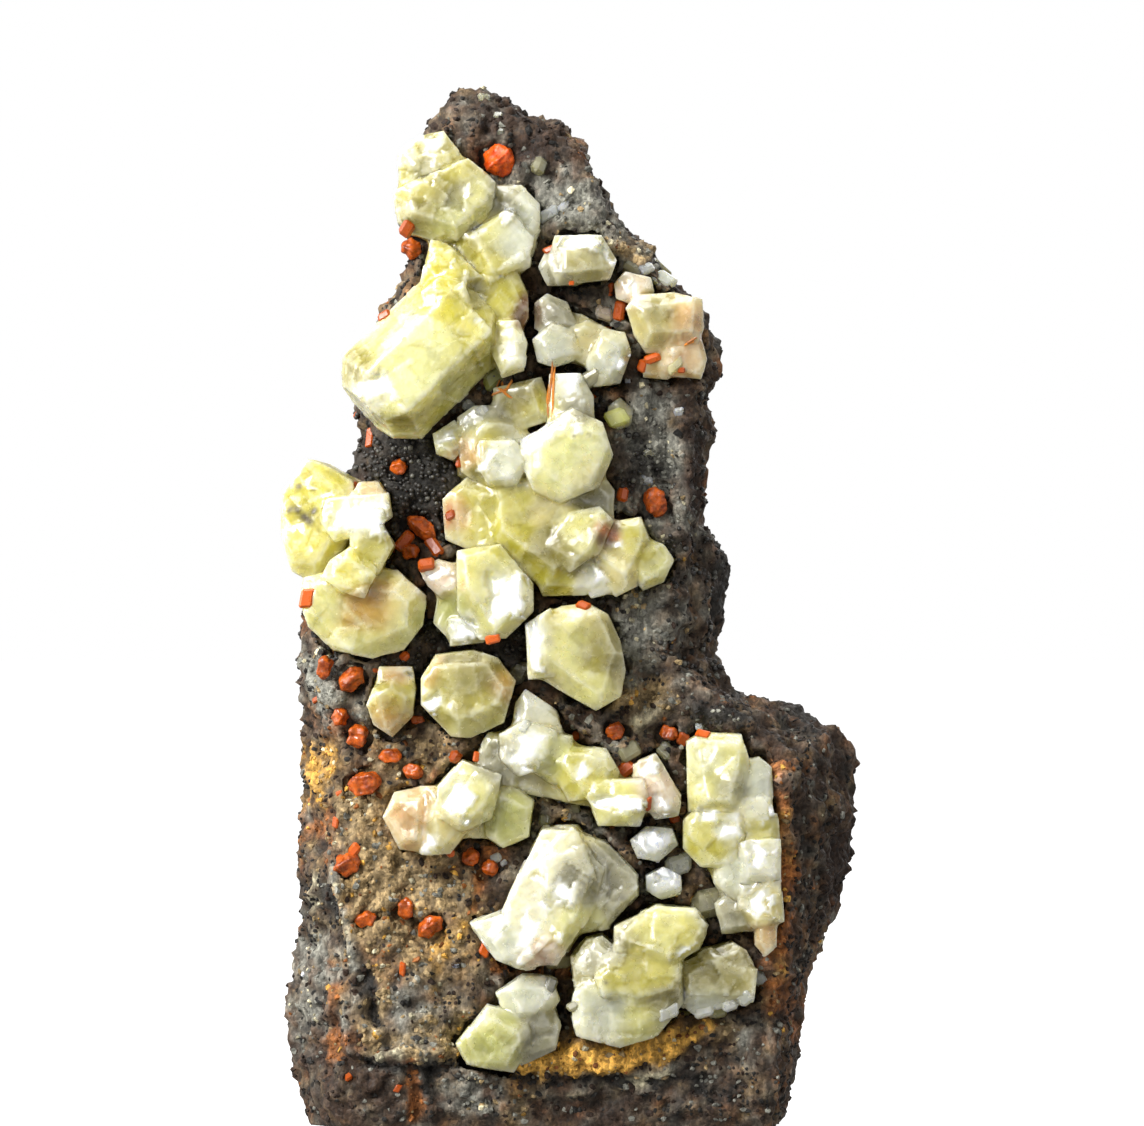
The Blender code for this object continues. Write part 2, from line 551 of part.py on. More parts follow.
def lower_chain():
    """A chain of crystals across the specimen below the tablets."""
    twin_left = [(-12.2, 20.7), (-11.5, 22.2), (-9.5, 22.6), (-9.5, 18.5), (-11.2, 18.7)]
    twin_right = [(-9.8, 22.6), (-8.3, 22.5), (-7.0, 21.4), (-7.0, 19.7), (-8.0, 18.4),
                  (-9.8, 18.4)]
    bright = [(-8.6, 22.7), (-7.1, 24.3), (-4.7, 23.4), (-5.3, 20.7), (-7.2, 19.9), (-8.6, 20.9)]
    green = [(-5.6, 22.4), (-3.7, 22.5), (-2.6, 21.7), (-2.9, 19.5), (-4.4, 18.8), (-5.4, 19.5)]
    grey = [(-6.1, 24.7), (-5.3, 26.1), (-3.7, 26.2), (-3.0, 24.4), (-3.8, 22.3), (-5.7, 22.3)]
    striated = [(-3.4, 28.2), (-2.9, 28.9), (-1.0, 27.6), (-0.6, 26.1), (-2.3, 25.9),
                (-3.7, 26.7)]
    white = [(-4.5, 26.1), (-3.0, 26.9), (-1.1, 26.3), (-1.3, 24.1), (-3.3, 23.6), (-4.5, 24.7)]
    pale = [(-1.6, 26.1), (0.0, 25.9), (0.4, 24.1), (-1.0, 23.0), (-2.2, 23.7)]
    lump = [(-1.1, 24.1), (0.3, 25.2), (2.3, 25.1), (3.1, 23.7), (2.5, 22.2), (0.0, 21.9)]
    loaf = [(1.3, 22.1), (2.3, 23.0), (4.7, 23.1), (5.1, 21.7), (4.5, 20.3), (2.0, 20.3)]
    twin = [(4.3, 24.1), (5.6, 24.7), (7.2, 22.1), (7.0, 20.9), (5.7, 20.7), (4.4, 22.4)]
    upper_ground = [(-4.9, 25.6), (-0.5, 25.9), (2.5, 24.2), (4.6, 21.9), (1.0, 21.6),
                    (-4.5, 22.8)]
    lower_ground = [(-10.5, 21.8), (-3.4, 22.4), (-3.6, 19.6), (-10.2, 19.3)]
    return [
        block(upper_ground, 1.5, 0.4),
        block(lower_ground, 1.5, 0.4),
        block(twin_left, 2.8, 0.8, tilt=(-0.15, 0.05)),
        block(twin_right, 3.0, 0.8, tilt=(0.15, 0.02)),
        block(bright, 3.6, 0.5, tilt=(-0.1, 0.2)),
        block(green, 2.6, 0.6, tilt=(0.1, -0.15)),
        block(grey, 2.0, 0.5, tilt=(-0.1, -0.05)),
        block(white, 3.2, 0.5, tilt=(-0.1, 0.15)),
        block(striated, 2.2, 0.5, tilt=(0.1, 0.1)),
        block(pale, 2.7, 0.4, tilt=(0.15, 0.0)),
        block(lump, 3.2, 0.8, tilt=(0.0, 0.15)),
        block(loaf, 3.8, 0.6, tilt=(-0.02, 0.3)),
        block(twin, 3.2, 0.6, tilt=(-0.1, 0.1)),
    ]


def right_column():
    """Blocks stacked down the right edge of the front, the left row of them first."""
    return [
        block([(8.6, 24.5), (12.7, 23.3), (13.1, 14.6), (10.6, 14.3), (8.8, 18.7)], 1.5, 0.4),
        block([(7.9, 25.6), (8.7, 26.1), (11.2, 26.0), (11.7, 24.4), (11.3, 21.2), (8.0, 21.2)],
              3.2, 0.8, tilt=(-0.05, 0.12)),
        block([(7.7, 20.5), (8.7, 21.5), (11.2, 21.4), (11.5, 19.4), (11.0, 17.6), (8.7, 17.6),
               (7.7, 18.7)], 2.8, 0.7, tilt=(0.0, -0.1)),
        block([(9.7, 17.5), (11.0, 18.3), (12.8, 18.0), (12.8, 15.9), (11.0, 15.2), (9.7, 16.4)],
              2.4, 0.6, tilt=(-0.1, -0.1)),
        block([(9.8, 14.9), (10.5, 15.5), (12.2, 15.2), (12.1, 13.3), (10.2, 13.1)],
              2.1, 0.5, tilt=(-0.1, 0.0)),
        block([(11.5, 24.1), (12.5, 24.5), (13.2, 23.9), (13.3, 21.6), (11.4, 21.5)],
              2.2, 0.4, tilt=(0.1, 0.1)),
        block([(11.2, 21.7), (13.2, 21.9), (13.4, 20.5), (11.3, 20.3)], 2.5, 0.4, tilt=(0.0, 0.2)),
        block([(11.2, 20.5), (13.6, 20.8), (13.8, 19.1), (11.5, 18.8)], 2.3, 0.5,
              tilt=(0.15, -0.1)),
        block([(11.3, 18.9), (13.8, 19.1), (13.8, 16.7), (11.5, 16.4)], 2.9, 0.4, tilt=(0.1, 0.1)),
        block([(11.4, 16.1), (13.8, 16.5), (14.0, 13.9), (12.2, 13.5), (11.3, 14.7)],
              2.7, 0.4, tilt=(0.1, 0.15)),
        block([(12.4, 13.9), (13.5, 13.9), (13.5, 12.2), (12.9, 11.7), (12.4, 12.3)],
              2.2, 0.4, tilt=(0.2, -0.1)),
    ]


def upper_white():
    """A small white block beside the column."""
    outline = [(4.2, 19.1), (5.2, 19.9), (6.7, 19.8), (7.0, 18.9), (5.8, 17.9), (4.6, 18.1)]
    return [block(outline, 2.6, 0.5, tilt=(-0.1, 0.2))]


def lower_white():
    """A small bluish block below the first one."""
    outline = [(5.2, 16.7), (6.2, 17.2), (7.2, 16.7), (7.2, 15.7), (6.1, 15.4), (5.2, 15.9)]
    return [block(outline, 2.2, 0.5, tilt=(-0.05, 0.15))]


def white_slab():
    """The long white slab with its clearer right half."""
    slab = [(-3.0, 17.4), (-1.8, 19.7), (0.2, 19.8), (2.0, 17.3), (1.2, 14.4), (-0.9, 11.0),
            (-2.9, 11.1), (-4.4, 14.4)]
    clear = [(0.0, 19.7), (2.4, 18.9), (4.3, 16.8), (4.3, 15.6), (2.4, 13.5), (0.2, 13.1)]
    step = [(-1.6, 17.9), (0.4, 18.3), (1.4, 16.6), (0.2, 15.0), (-1.6, 15.6)]
    tip = [(-6.3, 13.6), (-4.3, 14.3), (-2.9, 13.9), (-1.9, 11.0), (-3.2, 10.8), (-4.8, 11.4)]
    return [
        block(slab, 4.2, 0.6, tilt=(-0.12, 0.08), lean=(0.05, 0.05)),
        block(clear, 3.3, 0.6, tilt=(0.12, 0.03)),
        block(step, 4.5, 0.3, tilt=(-0.02, 0.1)),
        block(tip, 4.1, 0.4, tilt=(-0.05, 0.05)),
    ]


def lower_cluster():
    """Blocks and bodies at the lower right."""
    top = [(3.1, 13.4), (5.7, 14.7), (8.2, 14.5), (9.0, 13.5), (8.4, 12.1), (6.0, 10.7),
           (3.1, 11.5)]
    left = [(1.2, 12.5), (2.1, 12.7), (3.3, 11.7), (2.6, 9.9), (0.4, 10.1), (0.3, 11.4)]
    middle = [(1.9, 11.2), (4.7, 12.5), (7.3, 11.2), (7.0, 9.1), (4.7, 8.2), (2.3, 9.0)]
    spot = [(1.8, 10.1), (2.7, 10.9), (3.7, 10.5), (3.5, 9.2), (2.3, 8.9)]
    body = [(0.2, 8.0), (0.8, 10.7), (4.7, 11.1), (7.3, 10.4), (7.3, 8.6), (5.7, 6.4),
            (3.3, 5.7), (0.6, 6.4)]
    olive = [(6.9, 10.6), (8.9, 11.7), (10.8, 12.3), (11.6, 11.8), (12.2, 10.6), (12.0, 8.6),
             (8.3, 7.8), (6.9, 8.8)]
    return [
        block(body, 3.6, 1.0, tilt=(-0.05, -0.15)),
        block(olive, 2.8, 0.8, tilt=(0.15, 0.0)),
        block(middle, 4.2, 0.7, tilt=(0.05, 0.1)),
        block(top, 4.5, 0.8, tilt=(0.1, 0.15)),
        block(left, 3.6, 0.6, tilt=(-0.15, 0.1)),
        block(spot, 4.4, 0.3, tilt=(0.0, -0.1)),
    ]


def foot_cluster():
    """Three blocks at the bottom of the crystals."""
    upper = [(-4.7, 9.0), (-3.1, 10.0), (-1.4, 10.0), (-0.9, 8.6), (-1.9, 7.4), (-4.1, 7.4)]
    lower = [(-7.3, 5.7), (-5.4, 8.1), (-2.9, 7.3), (-2.7, 5.7), (-3.8, 4.0), (-6.7, 4.5)]
    right = [(-3.1, 7.3), (-1.3, 8.3), (-0.8, 6.9), (-1.1, 5.4), (-3.1, 4.5)]
    return [
        block(upper, 3.0, 0.8, tilt=(0.0, 0.12)),
        block(lower, 3.4, 0.8, tilt=(-0.1, 0.0)),
        block(right, 2.6, 0.6, tilt=(0.15, -0.1)),
    ]


# Each cerussite solid's name, the groups of crystals in it, the y of their roots in the rock and
# its main colour
CERUSSITE = [
    ("cerussite_big_barrel", [crown, big_barrel], 3.3, PALE_YELLOW),
    ("cerussite_bridge", [bridge], 2.2, CREAM),
    ("cerussite_right_shoulder", [right_shoulder], 2.2, PEACH),
    ("cerussite_middle_chain", [middle_chain], 2.0, MILKY),
    ("cerussite_upper_bud", [upper_bud], 1.7, GREY_GREEN),
    ("cerussite_centre_mass", [centre_mass, dog_bone], 1.7, YELLOW_GREEN),
    ("cerussite_large_block", [large_block], 1.5, PALE_YELLOW),
    ("cerussite_left_cluster", [left_cluster], 2.4, YELLOW_GREEN),
    ("cerussite_capped_crystal", [capped_crystal], 1.5, PEACH),
    ("cerussite_left_tablet", [left_tablet], 1.5, YELLOW_GREEN),
    ("cerussite_lower_chain", [lower_chain], 1.4, CREAM),
    ("cerussite_right_column", [right_column], 1.3, CREAM),
    ("cerussite_upper_white", [upper_white], 1.3, MILKY),
    ("cerussite_lower_white", [lower_white], 1.3, MILKY),
    ("cerussite_white_slab", [white_slab], 1.2, MILKY),
    ("cerussite_lower_cluster", [lower_cluster], 1.1, YELLOW_GREEN),
    ("cerussite_foot_cluster", [foot_cluster], 1.0, PALE_YELLOW),
]

# Larger crocoite crystals: x, z, length, width and the angle of the length above the horizontal
CROCOITE = [
    (-4.7, 64.3, 2.0, 1.5, 40),
    (-10.6, 58.5, 1.4, 0.9, -30),
    (5.7, 41.6, 2.1, 1.2, 100),
    (-11.4, 43.9, 1.1, 0.8, 15),
    (-9.9, 39.9, 2.6, 0.9, -35),
    (-10.6, 38.3, 1.2, 0.8, 10),
    (-16.3, 30.6, 1.7, 0.8, 80),
    (-14.5, 29.8, 2.1, 1.0, 42),
    (-15.3, 27.3, 1.2, 0.8, 60),
    (-14.1, 26.0, 1.5, 1.1, 80),
    (-11.9, 24.7, 1.5, 0.8, 5),
    (-13.6, 22.9, 2.2, 1.3, 8),
    (-10.4, 23.7, 1.4, 0.8, -12),
    (-14.8, 17.6, 1.8, 1.1, 30),
    (-6.6, 18.0, 1.1, 0.8, 35),
    (-5.3, 17.3, 1.1, 0.8, -20),
    (-13.6, 13.9, 1.4, 0.8, 20),
    (-10.9, 14.6, 1.5, 0.8, 85),
    (-9.3, 13.4, 2.1, 0.9, 38),
    (3.0, 26.4, 1.2, 0.9, 15),
    (6.6, 26.2, 1.2, 0.8, -10),
]
CROCOITE_SINK = 0.1  # share of its width by which a crocoite's axis lies in front of the rock
CROCOITE_TAPER = 0.24  # share of its length over which each end narrows


def crocoite_planes(surface, x, z, length, width, degrees):
    """A four-sided prism with steep ends, lying on the rock."""
    start = Vector((x, -BLANK, z))
    spot = surface.ray_cast(start * MM, Vector((0, 1, 0)))[0]
    depth = spot.y / MM - CROCOITE_SINK * width
    angle = math.radians(degrees)
    axis = (math.cos(angle), -0.25, math.sin(angle))
    return barrel((x, depth, z), axis, length, width / 2, taper=CROCOITE_TAPER * length, sides=4,
                  turn=angle)


def stand_on_origin(solids):
    """Hangs all solids on one empty that puts the middle of the foot at the origin."""
    corners = [s.matrix_world @ Vector(c) for s in solids for c in s.bound_box]
    low = Vector(min(c[i] for c in corners) for i in range(3))
    high = Vector(max(c[i] for c in corners) for i in range(3))
    stand = bpy.data.objects.new("specimen_origin", None)
    bpy.context.scene.collection.objects.link(stand)
    stand.location = (-(low.x + high.x) / 2, -(low.y + high.y) / 2, -low.z)
    for solid in solids:
        solid.parent = stand


def main():
    for old in list(bpy.data.objects):
        bpy.data.objects.remove(old)
    specimen = collection("chrome_cerussite_specimen")
    cutters = collection("cutters")
    rock = loft_rock(specimen)
    surface = BVHTree.FromPolygons(
        [v.co.copy() for v in rock.data.vertices], [p.vertices[:] for p in rock.data.polygons]
    )
    solids = [rock]
    for name, groups, root, colour in CERUSSITE:
        crystals = [planes for group in groups for planes in group()]
        solid = grown_together(name, crystals, root, specimen, cutters)
        keep_main_body(solid)
        finish(solid, colour, *CERUSSITE_FINISH)
        cut_socket(rock, crystals, root, cutters)
        solids.append(solid)
    for number, measures in enumerate(CROCOITE, start=1):
        planes = crocoite_planes(surface, *measures)
        solid = add_object(f"crocoite_{number:02d}", cut_crystal(planes), specimen)
        finish(solid, ORANGE_RED, *CROCOITE_FINISH)
        cut_socket(rock, [planes], BLANK, cutters)
        solids.append(solid)
    keep_main_body(rock)
    finish(rock, ROCK_BROWN, *ROCK_FINISH)
    stand_on_origin(solids)


main()
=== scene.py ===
"""Looks of the chrome cerussite specimen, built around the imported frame.

Every fine surface is grown from the mesh of the frame node that it replaces, so it stays where
that node is. Places and sizes are in millimetres, apart from those of the lights and the floor: x
runs to the right of the specimen's middle and z up from its foot in the front view, and the
crystals face -Y.
"""
import math
import random

import bmesh
import bpy
import numpy as np
from mathutils import Matrix, Vector, noise
from mathutils.bvhtree import BVHTree


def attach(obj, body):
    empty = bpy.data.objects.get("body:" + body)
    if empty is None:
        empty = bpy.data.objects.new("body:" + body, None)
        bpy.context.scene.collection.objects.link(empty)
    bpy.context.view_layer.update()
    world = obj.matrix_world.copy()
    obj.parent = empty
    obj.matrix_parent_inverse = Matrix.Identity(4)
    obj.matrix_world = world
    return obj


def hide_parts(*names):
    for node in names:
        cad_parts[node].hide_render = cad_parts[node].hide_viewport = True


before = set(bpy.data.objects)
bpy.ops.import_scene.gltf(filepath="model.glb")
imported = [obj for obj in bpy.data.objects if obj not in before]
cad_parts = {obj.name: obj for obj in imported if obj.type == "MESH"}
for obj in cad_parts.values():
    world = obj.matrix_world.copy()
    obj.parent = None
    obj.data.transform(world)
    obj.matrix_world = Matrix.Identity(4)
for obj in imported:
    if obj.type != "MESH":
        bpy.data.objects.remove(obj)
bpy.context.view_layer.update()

MM = 0.001
SEED = 20
ROCK = "gossan_matrix"
FRONT_Y = -7.9  # the rock's face
OFFSET_X = -0.06  # the frame's x of a place at x = 0 in the lists below

# Fineness of the grown surfaces
ROCK_GRAIN = 0.31
CRYSTAL_GRAIN = 0.155
CROCOITE_GRAIN = 0.09
OCTREE_FILL = 0.99  # share of the even grid that a crystal fills at most

# A crystal is built of staggered blocks, coarse ones with fine ones on them: their sizes along
# their own axes, how much they differ in height, and the seed of their random numbers
COARSE_SIZE, COARSE_STEP, COARSE_SEED = (2.6, 1.7, 2.0), 0.2, 1.0
FINE_SIZE, FINE_STEP, FINE_SEED = (0.9, 0.5, 0.7), 0.08, 5.0
BLOCK_TURN, BLOCK_LEAN = 0.9, 0.35  # most that the blocks of a patch turn and lean, in radians
# Tone of the darkest block, and what the lightest coarse and fine blocks add to it
BLOCK_TONE, COARSE_TONE, FINE_TONE = 0.9, 0.14, 0.06
# The lighter blocks are whiter too: by how much at most, from which random number, and the width
# of the change
COARSE_WHITE, FINE_WHITE = (0.2, 0.6, 0.3), (0.08, 0.6, 0.2)
CRYSTAL_RISE = 0.08  # how far the blocks reach past the solid on average
CREASE_PASSES = 12  # how often the creases between crystals are filled in a little
# How stepped the surfaces of a node are, where they aren't as smooth as those of the others
STEPPED = {
    "big_barrel": 0.75, "white_slab": 1.0, "lower_cluster": 0.9, "foot_cluster": 0.7,
    "lower_chain": 0.5, "right_column": 0.5, "upper_white": 0.5, "lower_white": 0.5,
    "left_cluster": 0.4,
}
SMOOTH_STEPS = 0.3

# Studio lights: place in metres, size in metres and power in watts
LIGHTS = {
    "key": ((-0.42, -0.42, 0.42), 0.26, 7.2),
    "left": ((-0.6, -0.06, 0.16), 0.3, 2.6),
    "top": ((-0.1, -0.06, 0.75), 0.4, 3.6),
    "fill": ((0.5, -0.55, 0.15), 0.5, 0.6),
    "front": ((-0.47, -0.75, 0.3), 0.24, 2.6),
    "back": ((0.3, 0.6, 0.5), 0.5, 2.0),
}
# The world's light changes with the height of its direction, up and down alike: it has the first
# brightness up to the first height, and the second from the second height on
WORLD_HEIGHTS, WORLD_GLOW = (0.07, 0.22), (1.0, 0.4)
FLOOR_RADIUS, FLOOR_GREY, FLOOR_GLOW = 4.0, 0.3, 0.97  # the radius is in metres

# Camera: how wide the front view is, and the place in its middle
VIEW_WIDTH = 76.27
VIEW_CENTRE = (0.08, 37.53)
VIEW_DEPTH = 3.0  # how far behind the rock's face the view has that width
LENS, SENSOR = 400.0, 36.0


def srgb(red, green, blue):
    """A linear colour from its display values between 0 and 255."""
    return tuple(((v / 255 + 0.055) / 1.055) ** 2.4 if v > 10 else v / 3294 for v in (red, green, blue))


# Colours of the cerussite
TINTS = {
    # glint and bright serve as painted highlights on facets and sparkles, and as the colour of the
    # whitest crystals
    "glint": srgb(244, 246, 238),
    "bright": srgb(246, 245, 192),
    "lemon": srgb(214, 206, 84),
    "yellow": srgb(214, 206, 106),
    "pale": srgb(226, 222, 154),
    "cream": srgb(226, 216, 160),
    "white": srgb(242, 240, 218),
    "cool": srgb(226, 227, 208),
    "grey": srgb(172, 168, 140),
    "smoke": srgb(122, 120, 104),
    "olive": srgb(160, 150, 60),
    "honey": srgb(198, 160, 66),
    "stain": srgb(134, 80, 28),
    "peach": srgb(230, 200, 150),
    "pink": srgb(228, 208, 186),
    "green": srgb(210, 210, 138),
    "speck": srgb(70, 52, 32),
    "orange": srgb(214, 128, 60),
}
TINT_DEPTH = 1.35  # power that deepens the tints, as thickness does
BETWEEN_PATCHES = 0.02  # weight of the cream colour where no patch is near
TINT_FALLOFF, ROCK_FALLOFF = 2.4, 1.4  # how fast patches of tint and of rock fade outwards
BRIGHTEST = 0.95  # limit of the crystals' colours

# Patches of colour on the crystals: x, z, reach, tint
# Some white, bright and glint patches lie on facets that face the lights and are partly painted highlight
PATCHES = [
    (-9.2, 64.6, 1.6, "yellow"), (-9.9, 62.9, 1.7, "yellow"), (-7.9, 63.3, 1.2, "yellow"),
    (-8.6, 62.0, 1.6, "olive"), (-9.6, 64.0, 1.8, "grey"), (-7.6, 61.6, 1.6, "grey"),
    (-9.0, 65.0, 1.3, "olive"), (-9.6, 63.6, 1.2, "smoke"), (-10.0, 60.4, 1.8, "olive"),
    (-8.0, 60.3, 1.7, "green"), (-6.4, 61.4, 1.5, "pale"), (-7.4, 58.9, 1.6, "yellow"),
    (-4.4, 61.8, 1.5, "grey"), (-3.2, 60.9, 1.4, "cool"), (-3.9, 59.2, 1.6, "cool"),
    (-5.3, 59.6, 1.4, "pale"), (-6.6, 58.7, 1.2, "olive"), (-5.6, 57.2, 1.5, "yellow"),
    (-8.3, 58.0, 1.0, "lemon"), (-8.0, 56.3, 1.4, "lemon"), (-6.4, 55.8, 1.4, "olive"),
    (-8.1, 54.7, 1.5, "lemon"), (-5.7, 53.0, 1.5, "yellow"), (-11.9, 51.8, 1.9, "bright"),
    (-9.6, 52.2, 1.8, "bright"), (-13.6, 50.5, 1.4, "olive"), (-13.0, 48.9, 1.4, "white"),
    (-10.3, 49.4, 2.0, "bright"), (-7.6, 50.2, 2.0, "pale"), (-8.9, 47.6, 1.7, "yellow"),
    (-11.6, 46.9, 1.4, "pale"), (-6.0, 51.6, 1.4, "lemon"), (-4.4, 55.3, 1.4, "yellow"),
    (-2.7, 54.2, 1.1, "stain"), (-4.7, 51.6, 1.3, "yellow"), (-3.9, 51.6, 1.2, "white"),
    (-1.0, 54.1, 1.3, "grey"), (-1.3, 51.7, 1.4, "cool"), (1.3, 52.0, 1.2, "cream"),
    (2.6, 51.0, 1.5, "cool"), (1.9, 49.4, 0.9, "olive"), (1.0, 57.6, 1.5, "olive"),
    (0.9, 58.9, 1.2, "white"), (-1.4, 56.8, 1.4, "grey"), (4.0, 56.0, 1.4, "pink"),
    (6.0, 54.5, 1.5, "olive"), (5.2, 52.5, 1.8, "cream"), (7.7, 54.0, 1.4, "peach"),
    (7.5, 51.4, 1.7, "peach"), (4.6, 50.6, 1.2, "honey"), (-3.4, 48.7, 1.6, "olive"),
    (-1.8, 47.6, 1.5, "yellow"), (0.0, 49.2, 1.5, "white"), (0.3, 47.9, 1.3, "grey"),
    (-8.0, 46.0, 1.0, "pale"), (-6.4, 47.2, 1.2, "cool"), (-5.0, 47.2, 1.2, "grey"),
    (-6.9, 44.9, 1.1, "honey"), (-5.6, 46.3, 1.1, "yellow"), (-6.2, 43.1, 0.9, "olive"),
    (-4.3, 44.2, 1.5, "cool"), (-1.8, 46.3, 1.3, "white"), (0.2, 44.5, 2.2, "bright"),
    (1.2, 43.2, 1.5, "cream"), (1.7, 41.8, 1.3, "grey"), (-7.4, 41.0, 1.0, "peach"),
    (-5.8, 41.6, 1.6, "yellow"), (-3.7, 41.0, 1.4, "yellow"), (-2.2, 40.8, 0.9, "cream"),
    (-4.2, 39.2, 1.7, "lemon"), (-1.2, 38.2, 1.9, "olive"), (0.4, 39.4, 1.3, "pale"),
    (1.6, 40.2, 1.1, "pale"), (-1.6, 36.6, 1.6, "lemon"), (-5.2, 36.6, 1.8, "pale"),
    (-4.0, 35.8, 1.6, "white"), (-5.0, 34.2, 1.4, "pale"), (-8.9, 36.4, 1.2, "pink"),
    (-7.9, 34.6, 1.1, "green"), (-7.0, 33.4, 1.0, "cool"), (2.3, 39.6, 0.9, "stain"),
    (4.6, 38.6, 1.6, "yellow"), (5.8, 37.4, 1.3, "pale"), (3.4, 37.6, 1.2, "cream"),
    (1.4, 36.0, 1.0, "white"), (-2.2, 32.2, 1.2, "white"), (0.0, 31.8, 1.6, "pale"),
    (1.9, 31.6, 1.6, "olive"), (1.3, 29.3, 1.3, "pale"), (-17.0, 42.0, 2.6, "lemon"),
    (-18.2, 40.4, 1.5, "lemon"), (-17.6, 39.2, 2.2, "yellow"), (-13.8, 40.6, 2.0, "white"),
    (-13.4, 42.3, 1.1, "peach"), (-13.2, 38.2, 1.4, "yellow"), (-14.6, 37.0, 1.6, "lemon"),
    (-13.6, 34.4, 1.8, "honey"), (-11.4, 34.0, 1.4, "cream"), (-16.2, 34.6, 1.5, "pale"),
    (-13.6, 32.2, 1.8, "pale"), (-10.6, 33.4, 1.4, "green"), (-11.5, 30.2, 0.9, "peach"),
    (-11.7, 28.4, 1.4, "lemon"), (-11.6, 26.8, 1.4, "honey"), (-11.9, 27.9, 1.2, "honey"),
    (-8.4, 29.0, 1.4, "yellow"), (-6.4, 29.4, 2.9, "olive"), (-5.6, 27.8, 1.6, "yellow"),
    (-4.4, 29.4, 1.2, "honey"), (-6.6, 26.4, 1.3, "pale"), (-10.9, 20.6, 1.7, "peach"),
    (-8.4, 20.2, 1.6, "cream"), (-10.0, 22.2, 1.0, "peach"), (-6.8, 22.2, 1.6, "pale"),
    (-7.3, 22.8, 1.0, "white"), (-4.0, 20.6, 1.6, "green"), (-4.7, 24.4, 1.5, "grey"),
    (-2.6, 25.2, 1.6, "white"), (-2.4, 28.4, 1.3, "white"), (-1.0, 24.8, 1.3, "green"),
    (0.6, 23.9, 1.7, "lemon"), (1.4, 24.4, 0.9, "white"), (3.2, 21.8, 1.8, "pale"),
    (5.7, 22.7, 1.7, "pink"), (6.4, 24.4, 0.9, "grey"), (9.6, 23.7, 2.2, "pale"),
    (9.2, 24.4, 1.3, "cool"), (10.3, 23.0, 1.2, "grey"), (9.0, 19.6, 1.9, "lemon"),
    (10.4, 19.9, 1.2, "white"), (12.4, 23.2, 1.3, "cool"), (12.4, 21.1, 1.1, "white"),
    (12.5, 20.0, 1.1, "yellow"), (12.8, 17.8, 1.4, "white"), (11.3, 16.9, 1.4, "cool"),
    (12.7, 15.0, 1.4, "cream"), (10.3, 14.1, 1.6, "grey"), (12.8, 12.4, 1.2, "peach"),
    (5.6, 19.3, 1.8, "glint"), (6.1, 16.4, 1.8, "glint"), (-1.6, 18.2, 1.7, "white"),
    (-2.4, 14.8, 2.0, "white"), (-4.6, 12.6, 1.7, "cool"), (0.6, 16.4, 1.8, "grey"),
    (2.8, 17.0, 1.9, "grey"), (3.4, 15.0, 1.6, "grey"), (0.6, 13.6, 1.8, "pale"),
    (-1.8, 11.4, 1.5, "pink"), (6.2, 13.4, 2.0, "pale"), (7.6, 12.4, 1.4, "yellow"),
    (2.2, 11.6, 1.6, "grey"), (2.8, 10.0, 1.2, "lemon"), (5.0, 10.6, 1.8, "yellow"),
    (2.4, 8.2, 1.8, "cool"), (4.8, 7.4, 1.8, "pale"), (6.2, 8.4, 1.4, "olive"), (9.6, 10.6, 2.0, "olive"),
    (10.6, 12.0, 1.6, "olive"), (9.2, 8.0, 1.6, "cool"), (-3.0, 9.2, 1.7, "cool"),
    (-5.2, 6.2, 1.9, "green"), (-6.0, 7.6, 1.3, "white"), (-2.0, 6.2, 1.6, "grey"),
]
